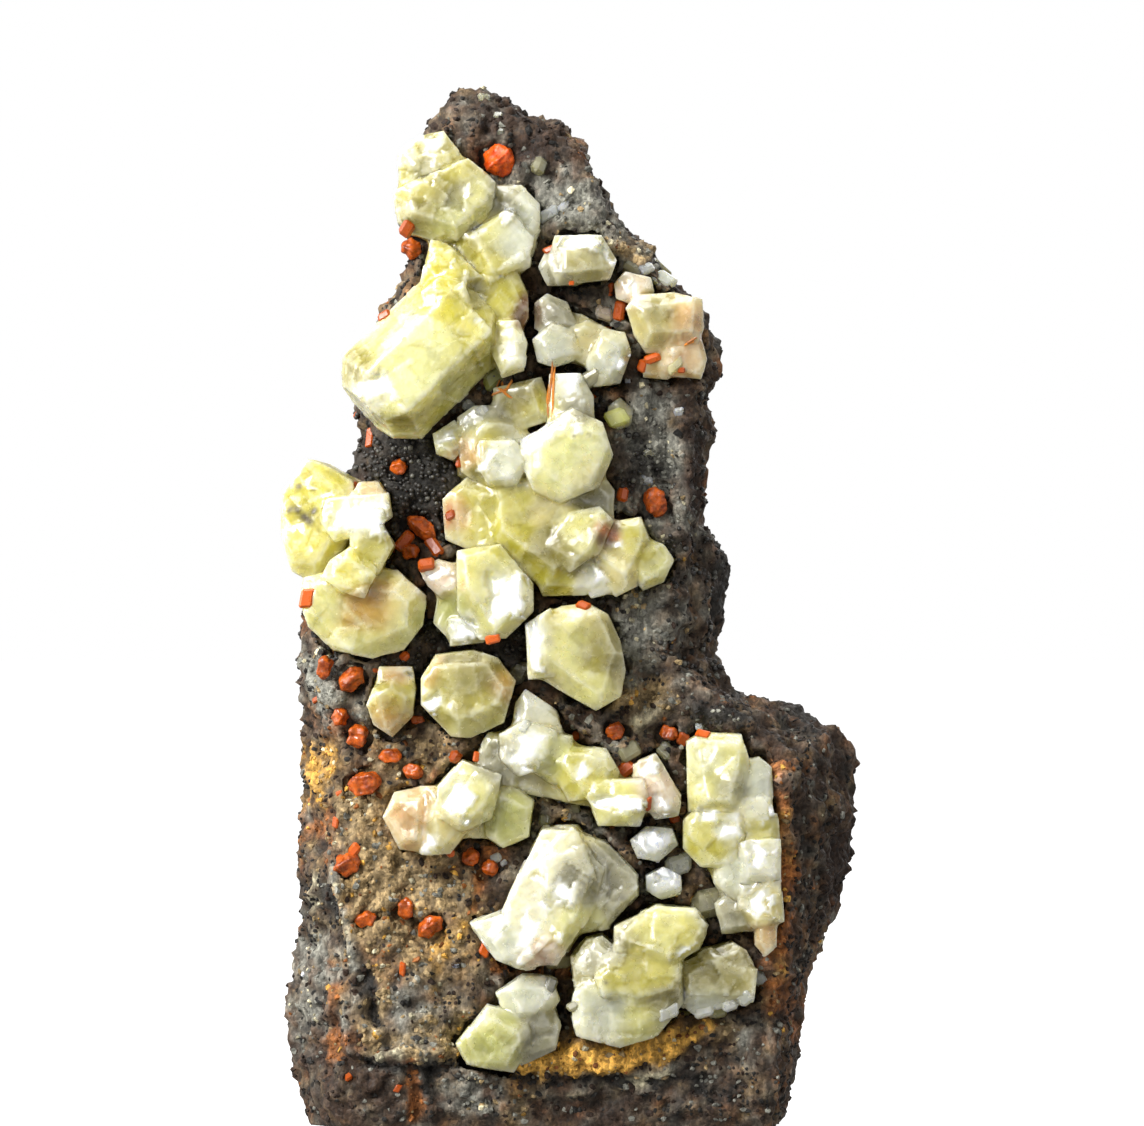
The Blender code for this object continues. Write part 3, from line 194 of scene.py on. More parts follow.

# Specks, stains, twin lines and bands of painted shade on the crystals: start, end, half width, tint and
# strength
MARKS = [
    ((-17.6, 40.6), (-17.2, 40.3), 0.3, "speck", 1.0), ((-18.1, 41.1), (-18.0, 41.0), 0.24, "speck", 1.0),
    ((-17.0, 40.9), (-16.9, 41.0), 0.22, "speck", 1.0), ((-18.6, 41.0), (-18.5, 41.1), 0.2, "speck", 0.9),
    ((-18.0, 42.6), (-17.9, 42.6), 0.2, "speck", 0.9), ((-17.0, 42.4), (-16.9, 42.4), 0.13, "speck", 0.7),
    ((-15.3, 35.1), (-13.4, 33.1), 0.13, "cream", 0.8), ((-13.5, 35.0), (-12.6, 34.2), 0.8, "honey", 0.6),
    ((-17.4, 35.3), (-17.4, 34.9), 0.3, "orange", 0.8), ((-13.2, 42.9), (-12.8, 42.7), 0.4, "honey", 0.7),
    ((-2.9, 54.9), (-2.8, 53.6), 0.42, "stain", 0.95), ((2.0, 39.9), (3.0, 39.2), 0.4, "orange", 0.7),
    ((-9.7, 19.0), (-9.6, 22.2), 0.12, "peach", 0.8), ((-8.2, 40.0), (-8.0, 41.2), 0.3, "orange", 0.6),
    ((-7.0, 35.9), (-6.8, 36.6), 0.2, "orange", 0.4), ((-4.7, 35.6), (-4.6, 34.8), 0.1, "olive", 0.7),
    ((-9.1, 29.6), (-9.0, 30.2), 0.4, "honey", 0.5), ((-4.3, 29.9), (-3.9, 28.6), 0.4, "honey", 0.75),
    ((-9.6, 29.4), (-8.6, 31.2), 0.35, "honey", 0.6), ((1.6, 30.6), (2.4, 33.0), 0.5, "olive", 0.6),
    # The olive bands at the barrel's lower end and along its lower and upper sides are painted shade
    ((-2.4, 31.0), (-1.6, 29.4), 0.25, "green", 0.4), ((-12.5, 47.0), (-10.6, 46.9), 0.35, "olive", 0.7),
    ((-10.4, 46.9), (-5.6, 51.0), 0.3, "olive", 0.5), ((-13.8, 50.7), (-11.6, 53.6), 0.35, "olive", 0.5),
    ((-8.9, 59.1), (-6.9, 58.9), 0.3, "olive", 0.5), ((-11.4, 62.0), (-7.0, 64.0), 0.18, "olive", 0.5),
    ((-7.3, 59.0), (-4.3, 60.9), 0.16, "olive", 0.5), ((-1.2, 54.6), (-1.1, 54.5), 0.12, "speck", 0.6),
    ((-10.4, 54.0), (-10.3, 53.9), 0.1, "speck", 0.7), ((-12.2, 50.1), (-12.1, 50.1), 0.1, "speck", 0.6),
    ((0.2, 45.9), (0.3, 45.9), 0.1, "speck", 0.7), ((1.2, 46.1), (1.3, 46.0), 0.1, "speck", 0.6),
    ((-6.6, 61.9), (-6.5, 61.9), 0.1, "speck", 0.6), ((2.3, 9.9), (2.4, 9.8), 0.16, "speck", 0.8),
    ((-5.3, 6.6), (-4.4, 6.1), 0.1, "olive", 0.6), ((10.2, 22.0), (10.3, 22.1), 0.12, "speck", 0.5),
    ((-1.8, 23.4), (-1.6, 23.3), 0.1, "speck", 0.6),
]

# Share of light that each node's cerussite lets straight through
CLARITY = {
    "big_barrel": 0.2, "bridge": 0.35, "right_shoulder": 0.3, "middle_chain": 0.4,
    "upper_bud": 0.6, "centre_mass": 0.3, "large_block": 0.3, "left_cluster": 0.2,
    "capped_crystal": 0.4, "left_tablet": 0.3, "lower_chain": 0.35, "right_column": 0.3,
    "upper_white": 0.4, "lower_white": 0.4, "white_slab": 0.3, "lower_cluster": 0.3,
    "foot_cluster": 0.35,
}
SMALL_CLARITY = 0.35
# Absorption inside the cerussite: density for each metre and tint
ABSORPTION = 60.0
ABSORPTION_TINT = srgb(240, 238, 196)

# Facets that catch a light, with a painted highlight on them: x, z, half width, half height, turn in
# degrees and the light
GLINTS = [
    (-14.1, 40.5, 2.0, 1.1, -8, "front"), (-8.3, 45.9, 0.6, 0.33, 15, "key"),
    (-5.5, 44.3, 0.3, 0.85, -25, "key"), (-1.5, 46.4, 1.9, 0.42, 32, "key"),
    (0.5, 46.4, 0.35, 0.3, 0, "key"), (-9.0, 28.2, 0.62, 0.55, 40, "key"),
    (-9.1, 19.1, 0.55, 0.65, 0, "front"), (-7.3, 21.9, 0.9, 1.0, -30, "key"),
    (-6.8, 20.4, 0.3, 0.4, 0, "key"), (-2.2, 28.4, 0.5, 0.6, 0, "key"),
    (-3.4, 27.5, 0.2, 0.5, -15, "key"), (-2.9, 25.2, 1.1, 1.1, -12, "front"),
    (0.8, 23.8, 0.5, 0.7, 0, "front"), (3.2, 21.7, 1.8, 0.5, -3, "key"), (5.3, 24.0, 0.6, 0.5, 0, "key"),
    (6.1, 21.7, 0.3, 0.8, 35, "key"), (-10.6, 30.0, 0.2, 0.25, 0, "key"),
    (0.7, 58.7, 1.4, 0.38, -7, "key"), (2.5, 57.9, 0.25, 0.8, 35, "key"),
    (-3.1, 51.2, 0.3, 0.5, 0, "key"), (4.3, 55.7, 0.3, 0.5, 20, "key"),
    (-4.2, 35.3, 1.2, 1.5, 0, "front"), (-8.8, 36.7, 1.0, 0.25, 20, "key"),
    (-7.0, 33.0, 0.8, 0.6, 0, "front"), (3.1, 38.7, 0.35, 0.25, 0, "key"),
    (2.0, 36.8, 0.5, 1.0, 35, "front"), (-2.3, 32.2, 0.45, 2.0, 5, "key"),
    (-12.9, 49.0, 1.1, 0.9, 20, "front"), (-6.1, 53.5, 0.35, 0.25, -20, "key"),
    (10.5, 19.9, 0.8, 0.7, 15, "front"), (12.7, 18.2, 0.7, 0.8, 0, "front"),
    (12.6, 15.2, 0.8, 1.0, 0, "front"), (4.8, 18.9, 0.3, 0.9, 30, "key"),
    (6.7, 16.6, 0.35, 0.6, 20, "key"), (-2.9, 13.0, 0.9, 1.3, -20, "front"),
    (-0.7, 15.8, 0.9, 1.0, 0, "front"), (-5.0, 13.4, 1.0, 0.7, 35, "front"),
    (7.8, 12.1, 0.9, 0.25, 32, "key"), (0.8, 6.1, 0.4, 0.6, 15, "key"),
    (-5.2, 8.4, 0.35, 0.35, 30, "key"), (-9.3, 55.0, 0.4, 0.5, 0, "key"),
    (-5.8, 59.6, 0.5, 0.3, 20, "key"), (3.1, 50.9, 0.7, 0.9, -30, "front"),
    (0.1, 49.4, 0.7, 1.0, 0, "front"), (5.2, 19.6, 0.7, 0.9, 25, "front"),
    (6.1, 17.0, 0.6, 0.7, 20, "front"), (-3.0, 24.6, 0.4, 1.0, 15, "front"),
    (9.2, 20.8, 0.6, 0.5, 0, "key"), (13.0, 20.6, 0.5, 0.6, 0, "front"),
    (-9.2, 65.4, 0.5, 0.8, 30, "front"), (-4.2, 60.6, 0.5, 0.4, 40, "key"),
]
# Width of the soft edge and the strength of the painted highlight on the facets that mirror each light
GLINT_EDGES = {"key": (0.16, 0.8), "front": (0.45, 0.75)}
GLINT_MIDDLE, GLINT_DEPTH = 0.3, 1.2  # where a facet's depth is measured, and how far it reaches
FACING = 0.1  # y of the normal below which a point is taken to face the viewer
SHARP_EDGE = 0.05  # height over its neighbours at which a point counts as a sharp edge
# Painted light on the crystals: rims and sharp edges are painted whiter as highlight, and creases darker
# as shade
RIM_PASSES, EDGE_PASSES = 20, 1  # how wide the pale rims and the fine bright edges are
RIM_LIGHT, EDGE_LIGHT, CREASE_SHADE = 0.14, 0.4, 0.4  # how strong rims, edges and creases are


def fractal(point, size, octaves):
    """Rough noise from about -1 to 1, with its largest waves size millimetres long."""
    return noise.fractal(point / size, 1.0, 2.1, octaves)


def new_object(name, data):
    """Adds an object to the scene."""
    made = bpy.data.objects.new(name, data)
    bpy.context.scene.collection.objects.link(made)
    return made


def grown_mesh(name, node, grain, sharp=False):
    """A fine, even copy of a node's mesh in millimetres, with its edges sharp or a bit rounded."""
    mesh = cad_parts[node].data.copy()
    mesh.transform(Matrix.Scale(1 / MM, 4))
    blank = new_object(name + "_blank", mesh)
    remesh = blank.modifiers.new("Even faces", "REMESH")
    if sharp:
        length = max(blank.dimensions)
        remesh.mode = "SHARP"
        remesh.octree_depth = math.ceil(math.log2(length / (OCTREE_FILL * grain)))
        remesh.scale = length / (grain * 2**remesh.octree_depth)
        remesh.use_remove_disconnected = False
    else:
        remesh.mode = "VOXEL"
        remesh.voxel_size = grain
        blank.modifiers.new("Round edges", "SMOOTH")
    bpy.context.view_layer.update()
    shaped = blank.evaluated_get(bpy.context.evaluated_depsgraph_get())
    fine = bpy.data.meshes.new_from_object(shaped)
    bpy.data.objects.remove(blank)
    bpy.data.meshes.remove(mesh)
    fine.name = name
    fine.materials.clear()
    return fine


def values_of(items, field, size=3, kind=float):
    """One property of all of a mesh's points, edges or faces, as rows of an array."""
    values = np.empty(len(items) * size, dtype=kind)
    items.foreach_get(field, values)
    return values.reshape(-1, size)


def points_of(mesh):
    """The mesh's points and normals as arrays."""
    return values_of(mesh.vertices, "co"), values_of(mesh.vertices, "normal")


def set_points(mesh, points):
    """Moves the mesh's points."""
    mesh.vertices.foreach_set("co", points.ravel())
    mesh.update()


def paint(mesh, name, colours):
    """Stores a colour for each point of the mesh."""
    layer = mesh.color_attributes.new(name, "FLOAT_COLOR", "POINT")
    full = np.ones((len(colours), 4), dtype=np.float32)
    full[:, :3] = colours
    layer.data.foreach_set("color", full.ravel())


def add_piece(mesh, material, node=None, smooth=True):
    """Adds a mesh in millimetres to the object, in place of a node if one is named."""
    mesh.transform(Matrix.Scale(MM, 4))
    if smooth:
        mesh.polygons.foreach_set("use_smooth", [True] * len(mesh.polygons))
    mesh.materials.append(material)
    made = new_object(mesh.name, mesh)
    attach(made, "root")
    if node:
        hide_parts(node)
    return made


class Nodes:
    """Adds shader nodes to a material or a world and links them."""

    def __init__(self, owner, shader="Principled BSDF"):
        owner.use_nodes = True
        self.owner = owner
        self.tree = owner.node_tree
        self.shader = self.tree.nodes[shader]
        self.coordinates = self.add("ShaderNodeTexCoord")

    def feed(self, socket, value):
        """Sets an input to a value, or links it to a socket or to a node's first output."""
        if isinstance(value, bpy.types.NodeSocket):
            self.tree.links.new(value, socket)
        elif isinstance(value, bpy.types.Node):
            self.tree.links.new(value.outputs[0], socket)
        elif isinstance(value, tuple) and socket.type == "RGBA":
            socket.default_value = (*value, 1.0)
        else:
            socket.default_value = value

    def add(self, kind, *inputs, **values):
        """Adds a node with its first inputs, its properties, and inputs by name with _ for spaces."""
        node = self.tree.nodes.new(kind)
        for key, value in values.items():
            if hasattr(node, key):
                setattr(node, key, value)
            else:
                self.feed(node.inputs[key.replace("_", " ")], value)
        for socket, value in zip(node.inputs, inputs):
            self.feed(socket, value)
        return node

    def set(self, **values):
        """Sets the shader's own inputs."""
        for key, value in values.items():
            self.feed(self.shader.inputs[key.replace("_", " ")], value)

    def noise(self, size, detail=3.0, roughness=0.55, distortion=0.0, place=None):
        """Noise whose waves are size millimetres long."""
        return self.add(
            "ShaderNodeTexNoise", Scale=1 / (size * MM), Detail=detail, Roughness=roughness,
            Distortion=distortion, Vector=place or self.coordinates.outputs["Object"],
        ).outputs["Fac"]

    def fibres(self, size, stretch, degrees):
        """Noise drawn out into fibres that lean by some degrees in the front view."""
        lean = self.add(
            "ShaderNodeMapping", Vector=self.coordinates.outputs["Object"],
            Rotation=(0.0, math.radians(degrees), 0.0), Scale=(1.0, 1.0, 1 / stretch),
        )
        return self.noise(size, 3.0, 0.6, 0.4, lean)

    def cells(self, size):
        """Cells size millimetres across: the distance from their middles and a colour each."""
        place = self.coordinates.outputs["Object"]
        return self.add("ShaderNodeTexVoronoi", Scale=1 / (size * MM), Vector=place)

    def ramp(self, factor, low, high, from_value=0.0, to_value=1.0):
        """Maps a factor from low..high to from_value..to_value, held at both ends."""
        return self.add("ShaderNodeMapRange", factor, low, high, from_value, to_value, clamp=True)

    def mix(self, factor, first, second, blend="MIX"):
        """Mixes two colours."""
        node = self.add("ShaderNodeMix", data_type="RGBA", blend_type=blend)
        for number, value in ((0, factor), (6, first), (7, second)):
            self.feed(node.inputs[number], value)
        return node.outputs[2]

    def times(self, first, second):
        """Multiplies two numbers."""
        return self.add("ShaderNodeMath", first, second, operation="MULTIPLY")

    def shaded(self, colour, factor):
        """A colour made darker or lighter by a factor."""
        shade = self.add("ShaderNodeCombineColor", factor, factor, factor)
        return self.mix(1.0, colour, shade, "MULTIPLY")

    def facets(self, size, tilt):
        """Flat facets size millimetres across, each tilted its own way where the mesh allows."""
        chance = self.cells(size).outputs["Color"]
        turned = self.add("ShaderNodeVectorMath", chance, (0.5, 0.5, 0.5), operation="SUBTRACT")
        share = self.add("ShaderNodeAttribute", attribute_name="tilt").outputs["Fac"]
        tilt = self.times(share, tilt)
        return self.add("ShaderNodeVectorMath", turned, operation="SCALE", Scale=tilt)

    def tilted(self, *facets):
        """The surface normal with the tilts of the facets added."""
        normal = self.add("ShaderNodeNewGeometry").outputs["Normal"]
        for facet in facets:
            normal = self.add("ShaderNodeVectorMath", normal, facet, operation="ADD")
        return self.add("ShaderNodeVectorMath", normal, operation="NORMALIZE")

    def painted(self, layer):
        """The colour that a mesh stores under a layer's name."""
        return self.add("ShaderNodeAttribute", attribute_name=layer).outputs["Color"]

    def bump(self, height, depth, strength, **below):
        """Small relief, depth millimetres deep, on the normal below if one is given."""
        return self.add(
            "ShaderNodeBump", Strength=strength, Distance=depth * MM, Height=height, **below
        )


def cerussite_material(name, transmission, layer="tint"):
    """Waxy, cloudy, partly see-through crystal with fine dark specks."""
    made = Nodes(bpy.data.materials.new(name))
    veil = made.ramp(made.noise(1.3, 6.0, 0.65, 0.6), 0.48, 0.7)
    colour = made.mix(made.times(veil, 0.22), made.painted(layer), srgb(248, 244, 222))
    colour = made.shaded(colour, made.ramp(made.noise(1.0, 4.0, 0.6), 0.32, 0.6, 0.76, 1.0))
    dots = made.ramp(made.cells(1.1).outputs["Distance"], 0.03, 0.06, 1.0, 0.0)
    specks = made.times(dots, made.ramp(made.noise(2.4, 1.0), 0.68, 0.7))
    colour = made.mix(made.times(specks, 0.7), colour, srgb(92, 70, 48))
    facets = made.tilted(made.facets(1.7, 0.22), made.facets(0.6, 0.16))
    made.set(
        Base_Color=colour, Roughness=made.ramp(made.noise(1.1), 0.3, 0.7, 0.1, 0.36), IOR=1.75,
        Transmission_Weight=transmission, Subsurface_Weight=0.9,
        Subsurface_Radius=(1.0, 0.92, 0.6), Subsurface_Scale=2.6 * MM,
        Normal=made.bump(made.noise(0.45, 5.0, 0.6), 0.015, 0.5, Normal=facets),
    )
    absorb = made.add("ShaderNodeVolumeAbsorption", Density=ABSORPTION, Color=ABSORPTION_TINT)
    made.feed(made.tree.nodes["Material Output"].inputs["Volume"], absorb)
    return made.owner


def crocoite_material(name, *ends):
    """Glossy crystal with dusty patches, between two colours or in the colour of the mesh."""
    made = Nodes(bpy.data.materials.new(name))
    if ends:
        colour = made.mix(made.ramp(made.noise(0.6, 4.0, 0.65), 0.38, 0.62), *ends)
    else:
        colour = made.painted("zone")
    dust = made.ramp(made.noise(0.25, 4.0, 0.7), 0.56, 0.66)
    made.set(
        Base_Color=made.mix(made.times(dust, 0.4), colour, srgb(158, 108, 58)), IOR=1.55,
        Roughness=made.ramp(made.noise(0.5), 0.35, 0.7, 0.2, 0.5),
        Transmission_Weight=0.1, Specular_IOR_Level=0.35,
        Normal=made.bump(made.noise(0.3), 0.03, 0.6),
    )
    return made.owner


def rock_material():
    """Gossan: painted zones with salt-and-pepper grains, dull with a few glints."""
    made = Nodes(bpy.data.materials.new("gossan"))
    grit = made.cells(0.25)
    chance = made.add("ShaderNodeSeparateColor", grit.outputs["Color"])
    pepper = made.ramp(chance.outputs[0], 0.0, 1.0, 0.62, 1.45)
    mottling = made.ramp(made.noise(0.5, 5.0, 0.7), 0.3, 0.7, 0.55, 1.5)
    streaks = made.ramp(made.fibres(0.32, 6.0, 38), 0.36, 0.64, 0.72, 1.34)
    tone = made.times(made.times(pepper, mottling), streaks)
    pits = made.bump(made.noise(0.35, 6.0, 0.65), 0.16, 0.9)
    grains = made.add("ShaderNodeMath", 1.0, grit.outputs["Distance"], operation="SUBTRACT")
    made.set(
        Base_Color=made.shaded(made.painted("zone"), tone), Specular_IOR_Level=0.25,
        Roughness=made.ramp(chance.outputs[1], 0.0, 1.0, 0.45, 0.95),
        Normal=made.bump(grains, 0.1, 0.4, Normal=pits),
    )
    return made.owner


def druse_material():
    """Small dark balls that catch the light."""
    made = Nodes(bpy.data.materials.new("druse"))
    made.set(
        Base_Color=made.painted("zone"), Specular_IOR_Level=0.4,
        Roughness=made.ramp(made.noise(0.5), 0.3, 0.7, 0.3, 0.55),
        Normal=made.bump(made.noise(0.08), 0.02, 0.5),
    )
    return made.owner


def apart(points, x, z):
    """Square of the distance in the front view from each point to a place."""
    return (points[:, 0] - x - OFFSET_X) ** 2 + (points[:, 2] - z) ** 2


def near_line(points, start, end):
    """Distance in the front view from each point to a line."""
    a, b = np.array(start), np.array(end)
    flat = points[:, (0, 2)] - np.array((OFFSET_X, 0.0))
    share = np.clip((flat - a) @ (b - a) / ((b - a) @ (b - a)), 0.0, 1.0)
    return np.linalg.norm(flat - a - share[:, None] * (b - a), axis=1)


def on_line(points, start, end, width):
    """Share from 0 to 1 of a soft line at each point."""
    return np.exp(-((near_line(points, start, end) / width) ** 2))


def in_patch(points, x, z, reach, falloff):
    """Share from 0 to 1 of a soft round patch at each point."""
    return np.exp(-falloff * apart(points, x, z) / reach**2)


def patch_tints(points):
    """Colour of each point from the patches of colour around it."""
    total = np.full(len(points), BETWEEN_PATCHES)
    colour = np.outer(total, TINTS["cream"])
    for x, z, reach, tint in PATCHES:
        share = in_patch(points, x, z, reach, TINT_FALLOFF)
        total = total + share
        colour += np.outer(share, TINTS[tint])
    return colour / total[:, None]


MIXING, MIXING_SCALE = (12.99, 78.23, 37.72), 43758.5  # they part the numbers of nearby blocks


def random_of(cells, seed):
    """A repeatable random number from 0 to 1 for each cell."""
    mixed = np.sin(cells @ np.array(MIXING) + seed) * MIXING_SCALE
    return mixed - np.floor(mixed)


def blocks_at(points, axes, size, seed):
    """The random number of the block in a staggered stack that each point lies in."""
    turned = np.einsum("ij,ijk->ik", points, axes) / np.array(size)
    row = np.floor(turned[:, 1:])
    turned[:, 0] += random_of(np.column_stack((row, row[:, 0])), seed)
    return random_of(np.floor(turned), seed + 1.7)


def growth_axes(points):
    """Axes of the blocks at each point: one random turn for each patch of colour."""
    distances = np.stack([apart(points, x, z) / reach**2 for x, z, reach, _ in PATCHES])
    chance = random.Random(SEED)
    turns = []
    for _ in PATCHES:
        turn = Matrix.Rotation(chance.uniform(-BLOCK_TURN, BLOCK_TURN), 3, "Y")
        turns.append(turn @ Matrix.Rotation(chance.uniform(-BLOCK_LEAN, BLOCK_LEAN), 3, "X"))
    return np.array(turns)[distances.argmin(axis=0)]


def neighbour_mean(mesh, values):
    """Mean of each column of values over the neighbours of each of the mesh's points."""
    one, other = values_of(mesh.edges, "vertices", 2, np.int32).T
    size = len(mesh.vertices)
    count = np.bincount(one, minlength=size) + np.bincount(other, minlength=size)
    sums = [
        np.bincount(one, column[other], size) + np.bincount(other, column[one], size)
        for column in values.T
    ]
    return np.array(sums).T / count[:, None]


def fill_creases(mesh):
    """Softens the creases between crystals that have grown together and keeps their edges."""
    for _ in range(CREASE_PASSES):
        points, normals = points_of(mesh)
        inward = ((neighbour_mean(mesh, points) - points) * normals).sum(axis=1)
        set_points(mesh, points + normals * np.maximum(inward, 0.0)[:, None])


def ridges(mesh, passes, sharp):
    """How much the mesh stands out at each point, from -1 in a crease to 1 on a sharp edge.

    More passes spread an edge over a wider band.
    """
    points, normals = points_of(mesh)
    out = ((points - neighbour_mean(mesh, points)) * normals).sum(axis=1, keepdims=True)
    for _ in range(passes):
        out = (out + neighbour_mean(mesh, out)) / 2
    return np.clip(out * math.sqrt(1 + passes) / sharp, -1.0, 1.0)


def towards(tints, name, share):
    """Moves tints towards a named one by a share for each point, in place."""
    tints += (np.array(TINTS[name]) - tints) * share


def cut_glint(points, normals, tints, tilt, ragged, x, z, half_width, half_height, turn, light):
    """Flattens a patch of a crystal's front to mirror a light towards the viewer, and paints a highlight
    on it.
    """
    angle = math.radians(turn)
    dx, dz = points[:, 0] - x - OFFSET_X, points[:, 2] - z
    along = dx * math.cos(angle) + dz * math.sin(angle)
    across = dz * math.cos(angle) - dx * math.sin(angle)
    edge, highlight_paint = GLINT_EDGES[light]
    inside = np.minimum(half_width - abs(along), half_height - abs(across)) + ragged * edge
    seen = (inside > 0) & (normals[:, 1] < FACING)
    close = seen & (np.hypot(dx, dz) < GLINT_MIDDLE)
    if not close.any():
        return
    depth = np.median(points[close, 1])
    seen &= abs(points[:, 1] - depth) < GLINT_DEPTH
    to_light = (Vector(LIGHTS[light][0]) - Vector((x, depth, z)) * MM).normalized()
    face = (to_light + Vector((0, -1, 0))).normalized()
    plane = depth - (face.x * dx + face.z * dz) / face.y
    share = np.clip(inside / edge, 0.0, 1.0)[seen]
    points[seen, 1] += (plane[seen] - points[seen, 1]) * share
    # Painted highlight: the patch's colour is moved towards near white
    tints[seen] += (np.array(TINTS["glint"]) - tints[seen]) * (highlight_paint * share)[:, None]
    tilt[seen] *= (1 - share)[:, None]


def whitened(block, most, start, width):
    """How much whiter a block is than its patch, from its random number."""
    return most * np.clip((block - start) / width, 0, 1)


def crystal_tints(points, normals, coarse, fine):
    """Colours of the crystals' surface from its patches, blocks and marks."""
    tints = patch_tints(points)
    tints *= (BLOCK_TONE + COARSE_TONE * coarse + FINE_TONE * fine)[:, None]
    whiter = whitened(coarse, *COARSE_WHITE) + whitened(fine, *FINE_WHITE)
    towards(tints, "white", whiter[:, None])
    tints **= TINT_DEPTH
    for start, end, width, tint, strength in MARKS:
        share = strength * on_line(points, start, end, width) * (normals[:, 1] < 0)
        towards(tints, tint, share[:, None])
    return tints


def grow_crystals(name, material):
    """Replaces a cerussite node by its fine crystal surfaces."""
    mesh = grown_mesh("crystals_" + name, "cerussite_" + name, CRYSTAL_GRAIN, sharp=True)
    fill_creases(mesh)
    points, normals = points_of(mesh)
    axes = growth_axes(points)
    coarse = blocks_at(points, axes, COARSE_SIZE, COARSE_SEED)
    fine = blocks_at(points, axes, FINE_SIZE, FINE_SEED)
    steps = COARSE_STEP * (coarse - 0.5) + FINE_STEP * (fine - 0.5)
    grown = points + normals * (CRYSTAL_RISE + STEPPED.get(name, SMOOTH_STEPS) * steps)[:, None]
    tints = crystal_tints(points, normals, coarse, fine)
    tilt = np.ones((len(points), 3))
    for glint in GLINTS:
        cut_glint(grown, normals, tints, tilt, 2 * fine - 1, *glint)
    set_points(mesh, grown)
    rim, edge = ridges(mesh, RIM_PASSES, SHARP_EDGE), ridges(mesh, EDGE_PASSES, SHARP_EDGE)
    # Painted highlight on rims and sharp edges, and painted shade in the creases
    towards(tints, "white", RIM_LIGHT * np.maximum(rim, 0.0) + EDGE_LIGHT * np.maximum(edge, 0.0))
    tints += (tints * tints - tints) * CREASE_SHADE * np.maximum(-rim, 0.0)
    paint(mesh, "tint", np.clip(tints, 0.0, BRIGHTEST))
    paint(mesh, "tilt", tilt)
    return add_piece(mesh, material, "cerussite_" + name)


CROCOITE_RISE = 0.02  # how far a crocoite's surface reaches past the solid on average
LUMP_HEIGHT, LUMP_SIZE = 0.13, 0.55  # the lumps on it


def grow_crocoite(node, material):
    """Replaces a crocoite node by its fine surface."""
    mesh = grown_mesh(node + "_crystal", node, CROCOITE_GRAIN)
    points, normals = points_of(mesh)
    rise = np.array([CROCOITE_RISE + LUMP_HEIGHT * fractal(Vector(p), LUMP_SIZE, 3) for p in points])
    set_points(mesh, points + normals * rise[:, None])
    return add_piece(mesh, material, node)


# Kinds of rock and their colours
ROCK_KINDS = {
    "dark": srgb(44, 32, 24),
    "black": srgb(36, 34, 31),
    "grey": srgb(111, 110, 101),
    "sand": srgb(138, 118, 84),
    "ochre": srgb(182, 138, 62),
    "rust": srgb(124, 76, 38),
    "pale": srgb(172, 164, 136),
}
ZONE_SIZE, ZONE_DRIFT = 1.25, 0.62  # size of the spots of one kind and how much they wander
SIDE_SIZE, SIDE_DRIFT = 7.0, 0.3  # the same for the wide spots behind the front
FRONT_DEPTH, FRONT_FADE = 4.5, 1.6  # where the rock's front ends behind its face, and how sharply
KIND_CONTRAST = 5.0  # how clearly one kind of rock stands out from the next
# How common each kind is where no patch says otherwise
ROCK_BIAS = {
    "dark": 0.6, "black": 0.42, "grey": 0.16, "sand": 0.0, "ochre": -0.3, "rust": 0.12,
    "pale": -0.5,
}
